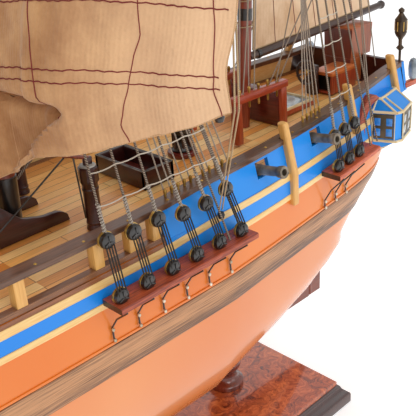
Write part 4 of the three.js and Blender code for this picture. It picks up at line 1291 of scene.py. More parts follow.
def mast_piece(name):
    spec = MASTS[name]
    r, lower_top, top_z = spec["radius"], spec["lower_top"], spec["topmast_top"]
    foot, double = on_deck(spec["x"]), lower_top - DOUBLING
    lower, topmast = [(r, 0), (r, 0.4), (r * 0.7, 1)], [(r * 0.6, 0), (r * 0.42, 1)]
    parts = [between(mast_at(name, foot), mast_at(name, lower_top), lower, MAST_WOOD, 32),
             between(mast_at(name, double, TOPMAST), mast_at(name, top_z, TOPMAST), topmast, MAST_WOOD, 20)]
    upwards = Vector(mast_at(name, 1)) - Vector(mast_at(name, 0))
    for z, width in MAST_BANDS[name]:
        wide = r * (1.0 - 0.3 * max(0, z - foot - 20) / 230) + 0.25
        band = [(wide, 0), (wide + 0.35, 0.3), (wide + 0.35, width - 0.3), (wide, width)]
        parts.append(turned(band, mast_at(name, z), BLACK_LACQUER, upwards, 28))
    x = raked(spec, double)
    cap = raked(spec, lower_top)
    parts += [block((x - 16, -22, double - 2), (x + 23, 22, double + 1), DARK_POST, 0.8),
              block((x - 16.4, -22.6, double + 0.6), (x - 14, 22.6, double + 2.2), BLACK_LACQUER),
              block((cap - 6, -4, lower_top - 4), (cap + 16, 4, lower_top), BLACK_LACQUER, 0.6)]
    parts += [block((x - 14, y - 1.5, double - 5), (x + 20, y + 1.5, double - 2), DARK_POST) for y in (-6, 6)]
    if spec["truck"] > top_z + 60:
        head = top_z - 24
        x1, x2 = raked(spec, top_z), raked(spec, head)
        pole = [(r * 0.36, 0), (r * 0.18, 1)]
        truck = mast_at(name, spec["truck"], TOPGALLANT)
        parts += [between(mast_at(name, head, TOPGALLANT), truck, pole, MAST_WOOD, 16),
                  block((x1 + 5, -3, top_z - 3), (x1 + 22, 3, top_z), BLACK_LACQUER, 0.5),
                  block((x2 + 4, -9, head - 2), (x2 + 24, 9, head), DARK_POST, 0.5)]
    fitting(name + "_mast_turned", "mast_wood", name + "_mast", parts)


def sprit_at(x, above=0.0):
    """A point of the bowsprit's middle line, which rises 3 in 8."""
    return x, 0, 238.5 + (x - 352) * 0.375 + above


for name in MASTS:
    mast_piece(name)
sprit_parts = [between((352, 0, 238.5), (500, 0, 294), [(7, 0), (7, 0.3), (5, 1)], MAST_WOOD, 28),
               between((448, 0, 285.5), (604, 0, 338), [(3.6, 0), (2, 1)], MAST_WOOD, 18),
               block((495, -5, 287), (500, 5, 308), BLACK_LACQUER, 0.8)]
for x in (372, 400, 430):
    p, q = sprit_at(x), (x + 3, 0, sprit_at(x, 1.1)[2])
    sprit_parts.append(between(p, q, [(7.1, 0), (7.3, 0.5), (7.1, 1)], BLACK_LACQUER, 24))
fitting("bowsprit_turned", "mast_wood", "bowsprit", sprit_parts)
print("masts stepped")

# %% [markdown]
# The spanker is the fore and aft sail on the mizzen. It hangs between a boom and a gaff and swings with
# them, so all its ropes ride with it too. Its cloth is a grid between the luff and the leech, with a little
# belly.

# %% Spanker and jib
SPANKER = [(-228.8, 277.9), (-366, 282.4), (-329, 432.6), (-236.2, 369.3)]
JIB = [(398, 300), (570, 340), (334, 541.5)]


def spanker_point(u, v):
    """From the luff at u 0 to the leech at u 1, and from the boom at v 0 to the gaff at v 1."""
    tack, clew, peak, throat = [Vector((x, 0, z)) for x, z in SPANKER]
    p = tack.lerp(clew, u).lerp(throat.lerp(peak, u), v)
    out = math.sin(math.pi * u) ** 0.8 * math.sin(math.pi * v) * 1.6
    fold = noise.noise(Vector((u * 3, v * 2, 5.0))) * 1.3 * math.sin(math.pi * u) * math.sin(math.pi * v)
    return p.x, -out + fold, p.z


def jib_point(u, t):
    """From the tack's edge at u 0 to the luff at u 1, and from the foot at t 0 to near the head at t 1."""
    (x0, z0), (x1, z1), (x2, z2) = JIB
    t *= 0.985
    belly = -2.0 * math.sin(math.pi * u) * math.sin(math.pi * t) ** 0.7
    return mix(mix(x0, x1, u), x2, t), belly, mix(mix(z0, z1, u), z2, t)


def fore_and_aft(name, point, columns, rows, wide, high):
    """A sail from a function of two fractions, its grid of points, and wide by high metres in its UV map."""
    grid = [[point(j / columns, i / rows) for j in range(columns + 1)] for i in range(rows + 1)]
    uvs = [[(j / columns * wide, i / rows * high) for j in range(columns + 1)] for i in range(rows + 1)]
    piece = grid_sheet(name, grid, uvs)
    with_modifier(piece, "SOLIDIFY", thickness=SAIL_THICK * MM, offset=0)
    return smooth(piece, 60), grid


spanker, cloth = fore_and_aft("spanker_cloth", spanker_point, 60, 60, 0.13, 0.15)
belongs(painted(spanker, PALE_CLOTH), "sailcloth", "spanker", "spanker_sail")
edge = [row[0] for row in cloth] + cloth[-1] + [row[-1] for row in reversed(cloth)] + cloth[0][::-1]
ropes("spanker_boltrope", [edge], 0.7, TAN_ROPE, body="spanker")
seams = [[(x, y + off, z) for x, y, z in [row[k] for row in cloth]]
         for off in (-SEAM_PROUD, SEAM_PROUD) for k in range(10, 60, 10)]
ropes("spanker_seams", seams, 0.3, RED_THREAD, body="spanker", slot="sailcloth", sides=4)
fitting("boom_turned", "spar_wood", "boom", [
    between((-224.6, 0, 274), (-381, 0, 280), [(2.6, 0), (3.3, 0.1), (3.3, 0.6), (2.5, 1)], SPAR_WOOD, 20),
    between((-380, 0, 280), (-385, 0, 280), [(2.2, 0), (3.3, 0.3), (3.4, 0.6), (2.4, 1)], SPAR_WOOD, 20),
    between((-232, 0, 274.3), (-235, 0, 274.4), [(3.5, 0), (3.8, 0.5), (3.5, 1)], BLACK_LACQUER, 20),
], "spanker")
fitting("gaff_turned", "spar_wood", "gaff", [
    between((-234.2, 0, 372), (-330, 0, 436), [(2.4, 0), (3, 0.1), (3, 0.5), (1.8, 1)], SPAR_WOOD, 20),
    between((-240, 0, 375.9), (-242.6, 0, 377.6), [(3.1, 0), (3.4, 0.5), (3.1, 1)], BLACK_LACQUER, 20),
], "spanker")
lacing = []
for z in (296, 313, 330, 347):
    x = raked(MASTS["mizzen"], z)
    turns = [2 * math.pi * n / 20 for n in range(21)]
    lacing.append([(x + 5.6 * math.cos(a), 5.6 * math.sin(a), z + 0.4 * a) for a in turns])
ropes("luff_lacing", lacing, 0.4, TAN_ROPE, body="spanker")
declare_sail(spanker, 137, 152, "boom_turned", "gaff_turned")
jib, cloth = fore_and_aft("jib_cloth", jib_point, 40, 60, 0.18, 0.26)
belongs(painted(jib, SAIL_CLOTH), "sailcloth", "ship", "jib_sail")
ropes("jib_boltrope", [[row[-1] for row in cloth], [row[0] for row in cloth], cloth[0]], 0.6, TAN_ROPE)
declare_sail(jib, 177, 265, "fore_mast_turned")
print("spanker and jib made")

# %% [markdown]
# Stays lead forward and down from each mast, and backstays lead aft to the side. The braces and lifts hold
# the yards. They all are thin straight ropes, so each is two points.

# %% Stays, backstays and lifts
ropes("main_stays", [
    [mast_at("fore", 430), (387, 0, 260)], [mast_at("fore", 584, TOPMAST), (584, 0, 335.2)],
    [mast_at("main", 446), (272.5, 0, 240)], [mast_at("mizzen", 398), (-33, 0, 250)],
], 0.8, SHROUD_ROPE)
ropes("light_stays", [
    [mast_at("fore", 735, TOPGALLANT), (602, 0, 340)], [mast_at("main", 640, TOPMAST), mast_at("fore", 440)],
    [mast_at("main", 780, TOPGALLANT), mast_at("fore", 606, TOPMAST)],
    [mast_at("mizzen", 596, TOPMAST), mast_at("main", 456)],
], 0.6, SHROUD_ROPE)
backstays = []
for name, aft in (("fore", 222), ("main", -108), ("mizzen", -262)):
    for x in (aft, aft - 10):
        foot = (x, half_at(x, CHANNEL_LEVEL) + 11, 209 + sheer(aft))
        backstays.append([foot, mast_at(name, MASTS[name]["topmast_top"] - 8, TOPMAST)])
for spec in MASTS.values():
    top_x = raked(spec, spec["lower_top"] - DOUBLING)
    head = spec["topmast_top"] - 26
    for k in range(3):
        low = (top_x + 14 - 12 * k, 22, spec["lower_top"] - DOUBLING + 1)
        backstays.append([low, (raked(spec, head) + 10, 1.5, head)])
ropes("backstays", both(backstays), 0.6, SHROUD_ROPE)
lifts = []
for spec in SAILS:
    mast = MASTS[spec["mast"]]
    x = raked(mast, spec["z"]) + spec["ahead"]
    top = min(spec["z"] + 60, mast["truck"] - 6)
    for s in (-1, 1):
        arm = s * (spec["half"] + 4)
        tip = (x - arm * math.sin(BRACE), arm * math.cos(BRACE), spec["z"] + 2)
        lifts.append([tip, (raked(mast, top) + 10, s * 2, top)])
ropes("lifts", lifts, 0.4, TAN_ROPE, sides=5)
print("running and standing ropes led")

# %% [markdown]
# The running ropes lead from brass belaying pins on the rails up to the yards and the mastheads. The main
# course's sheet is a pair of tan ropes from the clew to a black block at the ship's side. The vangs hold
# the gaff's peak from both sides, with their feet on the hull, and they ride on no body.

# %% Running rigging
PIN = [(0.3, -5), (0.7, -4.5), (0.8, 0), (0.7, 0.5), (1.1, 2), (1.0, 3.2), (0.3, 3.9)]


def pin_place(x):
    """Where a belaying pin stands in the cap rail."""
    return x, rail_ring(x)[5][1] + 2.6, RAIL_TOP + 0.4 + sheer(x)


AHEAD = 2 * math.tan(BRACE)
YARD_LEVELS = (545, 430, 420, 319.5, 313)
FIFE_HALF = 22.5


def twin(place):
    """A point's starboard twin: on a braced yard, or on its sail, it lies further forward."""
    x, y, z = place
    return (x + (AHEAD * y if z in YARD_LEVELS else 0), -y, z)


def twins(runs):
    return runs + [[twin(p) for p in run] for run in runs]


MAIN_HEAD, MIZZEN_HEAD = mast_at("main", 636, TOPMAST), mast_at("mizzen", 560, TOPMAST)
PEAK, CLEW = (-330, 0, 436), (-42.5, 163.5, 319.5)
MIZZEN_YARD, MIZZEN_ARM, MIZZEN_CLEW = (-233, 40, 545), (-243, 86, 545), (-231, 108, 430)
PIN_X = [-80 - 5.2 * k for k in range(11)] + [-207, -212, -217, -222, -227]
pins = [turned(PIN, pin_place(x), BRASS, sides=10) for x in PIN_X]
led = []
for k, x in enumerate(PIN_X[:11]):
    if k % 3 != 2:
        led.append([pin_place(x), (MAIN_HEAD[0] - 2 * k, 5 + 4 * (k % 4), MAIN_HEAD[2] - 30 * (k % 4))])
for k, x in enumerate(PIN_X[11:]):
    led.append([pin_place(x), (MIZZEN_YARD[0], MIZZEN_YARD[1] - 8 * k, MIZZEN_YARD[2])])
for x, end in ((-190, MIZZEN_HEAD), (-193, (-228, 30, 545)), (-199, MIZZEN_HEAD), (-204, (-222, 16, 388)),
               (-218, MIZZEN_CLEW), (-226, MIZZEN_ARM), (-228, MIZZEN_CLEW)):
    led.append([(x, FIFE_HALF, on_deck(x) + 32), end])
ropes("running_ropes", twins(led), 0.45, GREY_ROPE, sides=5)
vang_runs = [[foot, PEAK] for foot in ((-276, 62, 244), (-267, 74, 215), (-333, 30, 246))]
vangs = ropes("vangs", both(vang_runs), 0.45, GREY_ROPE, body=None, sides=5)
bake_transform(vangs)
sheets = []
for off in (-1.2, 1.2):
    clew = (CLEW[0] + off, CLEW[1], CLEW[2])
    sheets += [[(-109 + off, 82, 226), (-90 + off, 106, 255), clew], [clew, (-60, 150, 420)],
               [clew, (-72, 138, 420)]]
ropes("course_sheets", twins(sheets), 0.4, TAN_ROPE)
BALL = [(0.3, -2.2), (1.7, -1.8), (2.3, 0), (1.7, 1.8), (0.3, 2.2)]
spots = [spot for place in ((-109, 82, 223), (-46, 150, 313)) for spot in (place, twin(place))]
fitting("sheet_blocks", "black_wood", None, [turned(BALL, spot, BLACK_LACQUER, sides=16) for spot in spots])
pair(joined("belaying_pins", pins), "belaying_pins", "gun_bronze")
print("running ropes led from", len(pins), "pins and blocks")

# %% [markdown]
# The deck's fittings stand between the masts: an open hatch, a capstan, two pumps, the main bitts with
# their curved knees, a pin rail at the mizzen, and a skylight. Each is made of squared and turned parts,
# joined.

# %% Hatches, capstan and windlass


def frame_of(x0, x1, y0, y1, wide, z0, z1, finish, bevel=0.3):
    """Four blocks round an opening, lying inside its outer edge."""
    sides = ((x0, x1, y0, y0 + wide), (x0, x1, y1 - wide, y1),
             (x0, x0 + wide, y0, y1), (x1 - wide, x1, y0, y1))
    return [block((a, c, z0), (b, d, z1), finish, bevel) for a, b, c, d in sides]


def hatch(name, node, x0, x1, half, height):
    z = max(on_deck(x0), on_deck(x1))
    top = z + height
    parts = frame_of(x0, x1, -half, half, 2.6, z, top, DARK_RED)
    parts.append(block((x0 + 1, -half + 1, z), (x1 - 1, half - 1, z + 2), BOX_RED, 0))
    for inset in (0, 1.4):
        parts += frame_of(x0 + inset, x1 - inset, inset - half, half - inset, 0.6, top - 0.2, top + 0.35,
                          STEEL_TRIM, 0.15)
    fitting(name, "dark_red_wood", node, parts)


DARK_RED = wood("black brown mahogany", "#4A1C16", "#1E0C0A", roughness=0.3, coat=0.4)
hatch("after_hatch_coaming", "after_hatch", -127, -103, 24, 11.5)
hatch("main_hatch_coaming", "main_hatch", 48, 96, 24, 7)
capstan_foot = on_deck(CAPSTAN_X) + 3.4
DRUM = [(7, 0), (7.2, 1), (5.2, 3), (4.5, 7), (4.6, 11), (7.3, 13), (7.6, 14), (7.6, 17), (6.9, 18.2),
        (0, 18.8)]
parts = [turned(DRUM, (CAPSTAN_X, 0, capstan_foot), BLACK_LACQUER, sides=32)]
for k in range(6):
    rib = block((4.3, -0.7, 2), (6.4, 0.7, 12.2), DARK_POST)
    rib.data.transform(shifted(CAPSTAN_X, 0, capstan_foot) @ Matrix.Rotation(k * math.pi / 3, 4, "Z"))
    parts.append(rib)
fitting("capstan_drum", "black_wood", "capstan", parts, "capstan")
BARREL = [(2.4, -40), (2.4, -29.8), (5.4, -29.6), (6, -28), (5, -12), (6, 0), (5, 12), (6, 28), (5.4, 29.6),
          (2.4, 29.8), (2.4, 40)]
WINDLASS = (232, 0, 236)
barrel = turned(BARREL, WINDLASS, BLACK_LACQUER, (0, 1, 0), 16)
fitting("windlass_drum", "black_wood", "windlass_barrel", [barrel], "windlass")
parts = []
for y in (-34, 34):
    parts.append(block((227, y - 3.5, on_deck(238)), (237, y + 3.5, 252), DARK_POST, 0.6))
    parts.append(block((226.4, y - 4, 251), (237.6, y + 4, 253), RAIL_WOOD, 0.5))
parts.append(block((233, -34, 245), (236, 34, 249), DARK_POST, 0.5))
fitting("windlass_posts", "walnut", "windlass_bitts", parts)
print("hatches, capstan and windlass made")

# %% [markdown]
# A pump is a turned barrel with an eight sided collar, a lever, and a thin rod and a rope that hang from
# it. The main bitts have knees with a drawn curve, so each knee is a flat outline given thickness.

# %% Pumps and bitts
PUMP_X, PUMP_Y = -55, 37.5
# The cap is black lacquer; its grey colour is a painted reflection of the light.
PUMP_CAP_PAINTED_REFLECTION = smooth_coat("pump cap, grey as painted reflection on black lacquer", "#BCBAB2", "#8C8A82", 0.4)
BODY = [(4.9, 0), (4.9, 1.2), (4.4, 2), (4.4, 27), (5, 28), (5, 29)]
COLLAR = [(5.2, 0), (5.5, 0.8), (5.5, 8), (5.0, 9)]
CAP = [(0.3, 0), (4.4, 0), (4.7, 0.3), (4.3, 0.8), (0.3, 1.0)]
HOOP = [(4.5, -0.8), (4.7, -0.5), (4.7, 0.5), (4.5, 0.8)]


def pump(side):
    """The barrel with its collar and cap, the lever, and the rod and the rope that hang from it."""
    def at(dx, dy, dz):
        return PUMP_X + dx, side * PUMP_Y + dy, on_deck(PUMP_X) + dz

    rope_foot = (20, side * 25.5, DECK_TOP + 0.2 + sheer(20))
    return [turned(BODY, at(0, 0, 0), DARK_RED, sides=28),
            turned(COLLAR, at(0, 0, 28), DARK_RED, sides=8, degrees=20),
            turned(CAP, at(0, 0, 37), PUMP_CAP_PAINTED_REFLECTION, sides=24),
            block(at(-3, -1.2, 37), at(2, 1.2, 42), DARK_RED, 0.4),
            rod(at(-3, 0, 40.5), at(14, 0, 47.5), 1.1, MAST_WOOD, 12),
            rod(at(8, 0, 44.5), at(5.5, 0, 8), 0.5, BLACK_LACQUER),
            rod(at(13, 0, 46.5), rope_foot, 0.5, BLACK_LACQUER),
            turned(HOOP, at(0, 0, 4), DARK_RED, sides=28), turned(HOOP, at(0, 0, 24), DARK_RED, sides=28)]


fitting("pump_port_fitted", "walnut", "pump_port", pump(1))
fitting("pump_starboard_fitted", "walnut", "pump_starboard", pump(-1))
POST_RED = wood("orange red mahogany post", "#C2532E", "#7E2C16", along="Z", roughness=0.34, coat=0.4)


def outline_board(points, y0, y1, finish):
    """A board from an (x, z) outline: a filled circle primitive with its points moved, given thickness."""
    bpy.ops.object.select_all(action="DESELECT")
    bpy.ops.mesh.primitive_circle_add(vertices=len(points), fill_type="NGON")
    board = bpy.context.object
    board.data.vertices.foreach_set("co", [c * MM for x, z in points for c in (x, y0, z)])
    board.data.update()
    with_modifier(board, "SOLIDIFY", thickness=(y1 - y0) * MM, offset=0)
    board.data.transform(shifted(0, (y1 - y0) / 2, 0))
    in_edit(board, face_outwards)
    with_modifier(board, "BEVEL", width=0.4 * MM, segments=2, limit_method="ANGLE")
    return painted(smooth(board), finish)


bitts_z = on_deck(-50)
KNEE = [(-5, 0), (-52, 0), (-51, 4), (-48, 6.3), (-45, 7.5), (-41, 7.9), (-37, 8), (-33, 8.7), (-29, 10),
        (-25, 11), (-22, 12.3), (-18, 15.8), (-14, 20), (-10, 23.5), (-5, 24.5)]
parts = [block((-4.5, -24, bitts_z + 21), (0.5, 24, bitts_z + 25), BOX_RED, 0.6)]
for y in (-16, 16):
    parts += [outline_board([(x, bitts_z + z) for x, z in KNEE], y - 1.6, y + 1.6, DARK_RED),
              block((-5.5, y - 3.2, bitts_z), (1.5, y + 3.2, bitts_z + 27), POST_RED, 0.5),
              block((-6, y - 3.7, bitts_z + 26.5), (2, y + 3.7, bitts_z + 29), POST_RED, 0.6)]
fitting("main_bitts_knees", "walnut", "main_bitts", parts)
print("pumps and bitts made")

# %% [markdown]
# The pin rail round the mizzen is squared posts and rails with brass pins, before a dark box. The skylight
# is a low box with a pane and a cream frame, made as the hatches are.

# %% Mizzen pin rail and skylight
fife_z = on_deck(-237)
FIFE_PIN = [(0.3, -10.5), (0.8, -10), (0.9, 0), (0.8, 0.8), (1.2, 2), (1.1, 3.4), (0.3, 4.2)]
parts = []
for y in (-FIFE_HALF, FIFE_HALF):
    parts.append(block((-236, y - 2.8, fife_z + 27.5), (-182, y + 2.8, fife_z + 32.6), FIFE_RED, 0.6))
    for x in (-186.5, -231.5):
        parts.append(block((x - 2.8, y - 2.8, fife_z), (x + 2.8, y + 2.8, fife_z + 28), POST_RED, 0.5))
    for k in range(5):
        parts.append(turned(FIFE_PIN, (-190 - 9.2 * k, y, fife_z + 32.6), BRASS, sides=12))
parts.append(block((-236.5, -FIFE_HALF, fife_z), (-228, FIFE_HALF, fife_z + 23.5), BOX_RED, 0.5))
fitting("mizzen_pin_rail", "channel_wood", "fife_rail", parts)
sky_z = on_deck(-277)
parts = [block((-277, -16, sky_z), (-240, 16, sky_z + 3.2), POST_RED, 0.4),
         block((-276.2, -15.2, sky_z + 3), (-240.8, 15.2, sky_z + 3.6), GREY_GLASS, 0)]
parts += frame_of(-276.4, -240.6, -15.4, 15.4, 1.8, sky_z + 3, sky_z + 5, CREAM)
fitting("cabin_skylight", "light_wood", "skylight", parts)
print("pin rail and skylight made")

# %% [markdown]
# The guns are bronze barrels on dark carriages, glued in their ports. A barrel is one turned profile: a
# muzzle ring, a long taper with two bands, and a bore.

# %% Guns
GUN = [(2.2, -20), (3.5, -19.5), (3.7, -17), (3.3, -15), (3.3, -6), (3.6, -5.5), (3.6, -4), (3.1, -3),
       (2.9, 10), (3.5, 11), (3.9, 14), (3.7, 15), (2.1, 15), (2.0, 6)]
BORE = Vector((0, 1, 0.17))
for i, x in enumerate(GUN_X):
    side = half_at(x, HULL_TOP)
    z = on_deck(x - 8) + 8.2
    parts = [turned([(r, d * BORE.length) for r, d in GUN], (x, side, z), BRONZE, BORE.normalized(), 28),
             block((x - 4, side - 22, z - 8.2), (x + 4, side - 5, z - 3.2), DARK_POST, 0.5)]
    for cheek in (x - 3.4, x + 3.4):
        parts.append(block((cheek - 0.8, side - 20, z - 4), (cheek + 0.8, side - 7, z + 0.5), DARK_POST, 0.4))
    pair(joined("gun", parts), "bronze_gun_%d" % (i + 1), "gun_bronze", ["gun_%s_" + str(i + 1)])
print("guns run out")

# %% [markdown]
# A quarter gallery is a small bay on each side of the stern, with a row of windows between painted
# mouldings, a little roof above and a bracket below. It is a loft through rings, and the windows are panels
# on its faces.

# %% Quarter galleries
BADGE_PLAN = [(-285, 0), (-291.5, 15.5), (-297, 17), (-317, 11), (-321, -5)]
HIP_SHIFT = {-285: -5.5, -321: 4}
WALL_Y = half_at(-285, HULL_TOP)


def badge_ring(z, spread, grow=0.0, hip=0.0):
    """The bay's plan corners at a height. A hipped roof draws its two end corners in along the ship."""
    corners = []
    for x, out in BADGE_PLAN:
        x += HIP_SHIFT.get(x, 0) * hip
        flat = half_at(x, HULL_TOP) + 1
        corners.append(Vector((x, mix(min(flat, WALL_Y + out), WALL_Y + out, spread) + grow, z)))
    return corners


BAY = [(200, 0.25, 0), (204, 0.7, 0), (207.5, 1, 0), (229.5, 1, 0), (233.5, 0.56, 0.5), (237.5, 0.12, 1)]
bay_rings = []
for z, spread, hip in BAY:
    corners = badge_ring(z, spread, 0, hip)
    lean = TUMBLEHOME * max(0, z - HULL_TOP - sheer(-300)) + 2
    root = [(corners[k].x, half_at(BADGE_PLAN[k][0], HULL_TOP) - lean, z) for k in (0, -1)]
    bay_rings.append([root[0]] + corners + [root[1]])
badge_parts = [painted(swept_board("bay", bay_rings, 20), BLUE_PAINT)]


def panel(a, b, z0, z1, off, finish, thick, inset=0.0):
    """A flat panel on a bay face between two plan corners."""
    along = (b - a).normalized()
    out = Vector((-along.y, along.x, 0))
    if out.y < 0:
        out = -out
    piece = block((inset, 0, z0), ((b - a).length - inset, thick, z1), finish, 0.2)
    turn = Matrix((along, out, Vector((0, 0, 1)))).transposed().to_4x4()
    piece.data.transform(Matrix.Translation(Vector((a.x, a.y, 0)) * MM + out * off * MM) @ turn)
    if turn.determinant() < 0:
        piece.data.flip_normals()
    return piece


def window(a, b, panes, glass):
    """A dark frame on one bay face, two rows of panes, and a cream post at each end."""
    made = [panel(a, b, 209.5, 227.5, 0.3, WINDOW_FRAME, 0.6, 1.0)]
    for n in range(panes):
        for z in (211.4, 219.2):
            p, q = a.lerp(b, (n + 0.24) / panes), a.lerp(b, (n + 0.76) / panes)
            made.append(panel(p, q, z, z + 5.6, 0.7, glass, 0.4))
    for low, high in ((0, 0.05), (0.97, 1)):
        made.append(panel(a.lerp(b, low), a.lerp(b, high), 209.0, 228, 0.6, CREAM, 0.9))
    return made


plan = badge_ring(215, 1)
for k, panes, glass in ((0, 2, BLUE_GLASS), (2, 2, GREY_GLASS), (3, 1, BLUE_GLASS)):
    badge_parts += window(plan[k], plan[k + 1], panes, glass)
for z, spread, grow, hip in ((207.5, 1, 0.8, 0), (229, 1, 0.9, 0), (237.3, 0.16, 0.4, 1),
                             (201, 0.35, 0.4, 0)):
    line = badge_ring(z, spread, grow, hip)
    badge_parts += [rod(p, q, 1.0, CREAM, 10) for p, q in zip(line, line[1:])]
for a, b in zip(badge_ring(229.4, 1, 0.4), badge_ring(237.3, 0.14, 0.4, 1)):
    badge_parts.append(between(a, b, [(0.8, 0), (0.7, 1)], CREAM, 8))
ARCH = [(-268, 206), (-266.5, 214), (-266, 222), (-267.5, 229), (-270.5, 235), (-275, 239.6), (-280.5, 242),
        (-286, 241.5), (-290, 238.5), (-286, 237), (-281.5, 236), (-278, 233), (-275.5, 229.5), (-274, 226),
        (-273.3, 221), (-273.5, 213), (-274.5, 206)]
arch_y = half_at(-275, HULL_TOP)
badge_parts.append(outline_board(ARCH, arch_y - 6.5, arch_y + 1.2, CHANNEL_WOOD))
pair(joined("badge", badge_parts), "quarter_gallery", "light_wood", ["quarter_badge_%s"])
print("quarter galleries made")

# %% [markdown]
# The transom closes the stern. Its inner face is dark, its outer face is blue with a row of
# windows, and a lantern stands at each side of it.

# %% Transom and lanterns
rise = sheer(TAFFRAIL_X)
rail_z = RAIL_TOP + rise
half_foot = half_at(TAFFRAIL_X + 3, HULL_TOP)
rings = []
for half, aft, z in ((half_foot, -343.5, WALL_FOOT + rise), (half_foot - 4.5, -344.5, rail_z)):
    rings.append([(-340.4, half, z), (aft, half, z), (aft, -half, z), (-340.4, -half, z)])
board = swept_board("board", rings)
with_modifier(board, "BEVEL", width=0.4 * MM, segments=2, limit_method="ANGLE")
painted(board, BLUE_PAINT, DARK_RED)
# The transom's inner face and its top are dark; the rest is blue.
for face in board.data.polygons:
    face.material_index = 1 if face.normal.x > 0.5 or face.normal.z > 0.5 else 0
parts = [smooth(board)]
for y in [12.5 * k for k in range(-3, 4)]:
    parts.append(block((-344.9, y - 4.2, 232.5), (-343.6, y + 4.2, 245), CREAM))
    for pane_y in (y - 2, y + 2):
        for z in (233.6, 239.4):
            parts.append(block((-345.2, pane_y - 1.6, z), (-344.7, pane_y + 1.6, z + 4.8), BLUE_GLASS, 0.1))
LANTERN = [(1, 0), (1, 9), (2.2, 10), (3, 11), (2.2, 12), (1.4, 13), (1.4, 17), (2.4, 19), (3.4, 20),
           (4.3, 22), (4.6, 23), (4.2, 24), (4.4, 31), (4.8, 32), (3.6, 33.6), (2.6, 35), (1.4, 37),
           (2.2, 38), (2.2, 39.5), (0.4, 41)]
LANTERN_X, LANTERN_Y, LANTERN_BAR = -342.5, 45, 4.3
LAMP_Y = 50
LAMP = [(0.5, 0), (2.6, 0.6), (3.4, 3), (3.8, 8), (3.4, 13), (2.2, 15.5), (0.4, 16.5)]
for s in (-1, 1):
    y = s * LAMP_Y
    parts += [block((-358, y - 2.2, 229.5), (-342, y + 2.2, 233.5), CHANNEL_WOOD, 0.4),
              turned(LAMP, (-354, y, 233.8), GREY_GLASS),
              turned(LANTERN, (LANTERN_X, s * LANTERN_Y, rail_z - 1), LANTERN_METAL, sides=28)]
    for a in [k * math.pi / 3 for k in range(6)]:
        x, y = LANTERN_X + LANTERN_BAR * math.cos(a), s * LANTERN_Y + LANTERN_BAR * math.sin(a)
        parts.append(rod((x, y, rail_z + 23), (x, y, rail_z + 30), 0.45, BRASS, 6))
fitting("stern_board", "blue_paint", "transom", parts)
print("stern closed, lanterns lit")

# %% [markdown]
# The rudder's head comes up in a boarded trunk, wider above the taffrail. Before it stand a low box on feet
# and the post that carries the helm's wheel. The wheel is a torus with eight turned spokes, on its own
# body.

# %% Rudder trunk and helm
TRUNK_WOOD = wood("red brown mahogany, satin varnish", "#B8622F", "#7E3A1C", along="Z", roughness=0.42)
# Painted shade: the trunk's own mahogany, made darker for the trunk's fore faces.
TRUNK_FRONT_PAINTED_SHADE = wood("mahogany front, painted shade", "#7A3018", "#44180C", along="Z")
trunk_z = on_deck(-339)
sill = rail_z + 0.3
TRUNK_TOP = 273


def trunk_ring(x0, x1, half, z):
    return [(x0, half, z), (x1, half, z), (x1, -half, z), (x0, -half, z)]


lower = [trunk_ring(-339.8, -324.5, 12, trunk_z), trunk_ring(-339.8, -325, 12.7, sill)]
upper = [trunk_ring(-351, -325, 12.7, sill), trunk_ring(-352, -325.5, 13.5, TRUNK_TOP)]
parts = [swept_board("trunk", lower), swept_board("trunk_top", upper)]
for piece in parts:
    with_modifier(piece, "BEVEL", width=0.5 * MM, segments=2, limit_method="ANGLE")
    painted(smooth(piece), TRUNK_WOOD, TRUNK_FRONT_PAINTED_SHADE)
    for face in piece.data.polygons:
        # The fore faces take the darker copy of the wood: painted shade.
        face.material_index = 1 if face.normal.x > 0.5 else 0
box_z, helm_z = on_deck(-324.5), on_deck(-296)
for low, high, finish, bevel in (
        ((-352, -13.4, TRUNK_TOP - 1), (-325.5, 13.4, TRUNK_TOP + 1), TRUNK_WOOD, 0.4),
        ((-326, -1, box_z), (-299.5, 17, 244.5), POST_RED, 0.4),
        ((-326, -1.6, 244.2), (-295.4, 17.6, 247), ORANGE_BOARD, 0.5),
        ((-299.6, -1, box_z), (-296, 0.8, 244.5), POST_RED, 0.3),
        ((-299.6, 15.2, box_z), (-296, 17, 244.5), POST_RED, 0.3),
        # A thin black sheet across the box's open front: painted shade for its dark inside.
        ((-299.7, 0.6, box_z), (-299.3, 15.4, 244.3), BLACK_LACQUER, 0),
        ((-299.6, 0.6, box_z), (-296, 15.4, box_z + 1.4), POST_RED, 0.2),
        ((-296.6, -4.5, helm_z), (-291.4, 4.5, 251.5), DARK_POST, 0.6)):
    parts.append(block(low, high, finish, bevel))
fitting("rudder_trunk_boarded", "mast_wood", "rudder_trunk", parts)
HUB = (-287, 0, 247)
SPOKE = [(0.8, 0), (0.6, 0.5), (0.9, 0.62), (0.5, 0.8), (0.8, 0.9), (0.3, 1)]
bpy.ops.object.select_all(action="DESELECT")
bpy.ops.mesh.primitive_torus_add(
    major_radius=9 * MM, minor_radius=1.1 * MM, major_segments=40, minor_segments=10)
rim = bpy.context.object
rim.data.transform(shifted(*HUB) @ Matrix.Rotation(math.pi / 2, 4, "Y"))
parts = [painted(smooth(rim), DARK_POST),
         turned([(1.2, -7), (1.2, -2), (2.4, -2), (2.8, 0), (1.8, 1.5)], HUB, BRASS, (1, 0, 0), 16)]
for a in [k * math.pi / 4 + math.pi / 8 for k in range(8)]:
    tip = Vector(HUB) + 11 * Vector((0, math.cos(a), math.sin(a)))
    parts.append(between(HUB, tip, SPOKE, DARK_POST, 8))
fitting("helm_rim_and_spokes", "spar_wood", "helm_wheel", parts, "helm")
print("trunk boarded, wheel hung")

# %% [markdown]
# The plinth is a veneered board with a dark moulding round its foot, and a gloss that mirrors the room.
# Burl veneer has no straight grain: it is swirls and small eyes, which warped noise gives. The ogee
# moulding is four mitred sweeps, made as one loft of rectangles. Two turned pedestals carry the keel.

# %% Plinth and pedestals


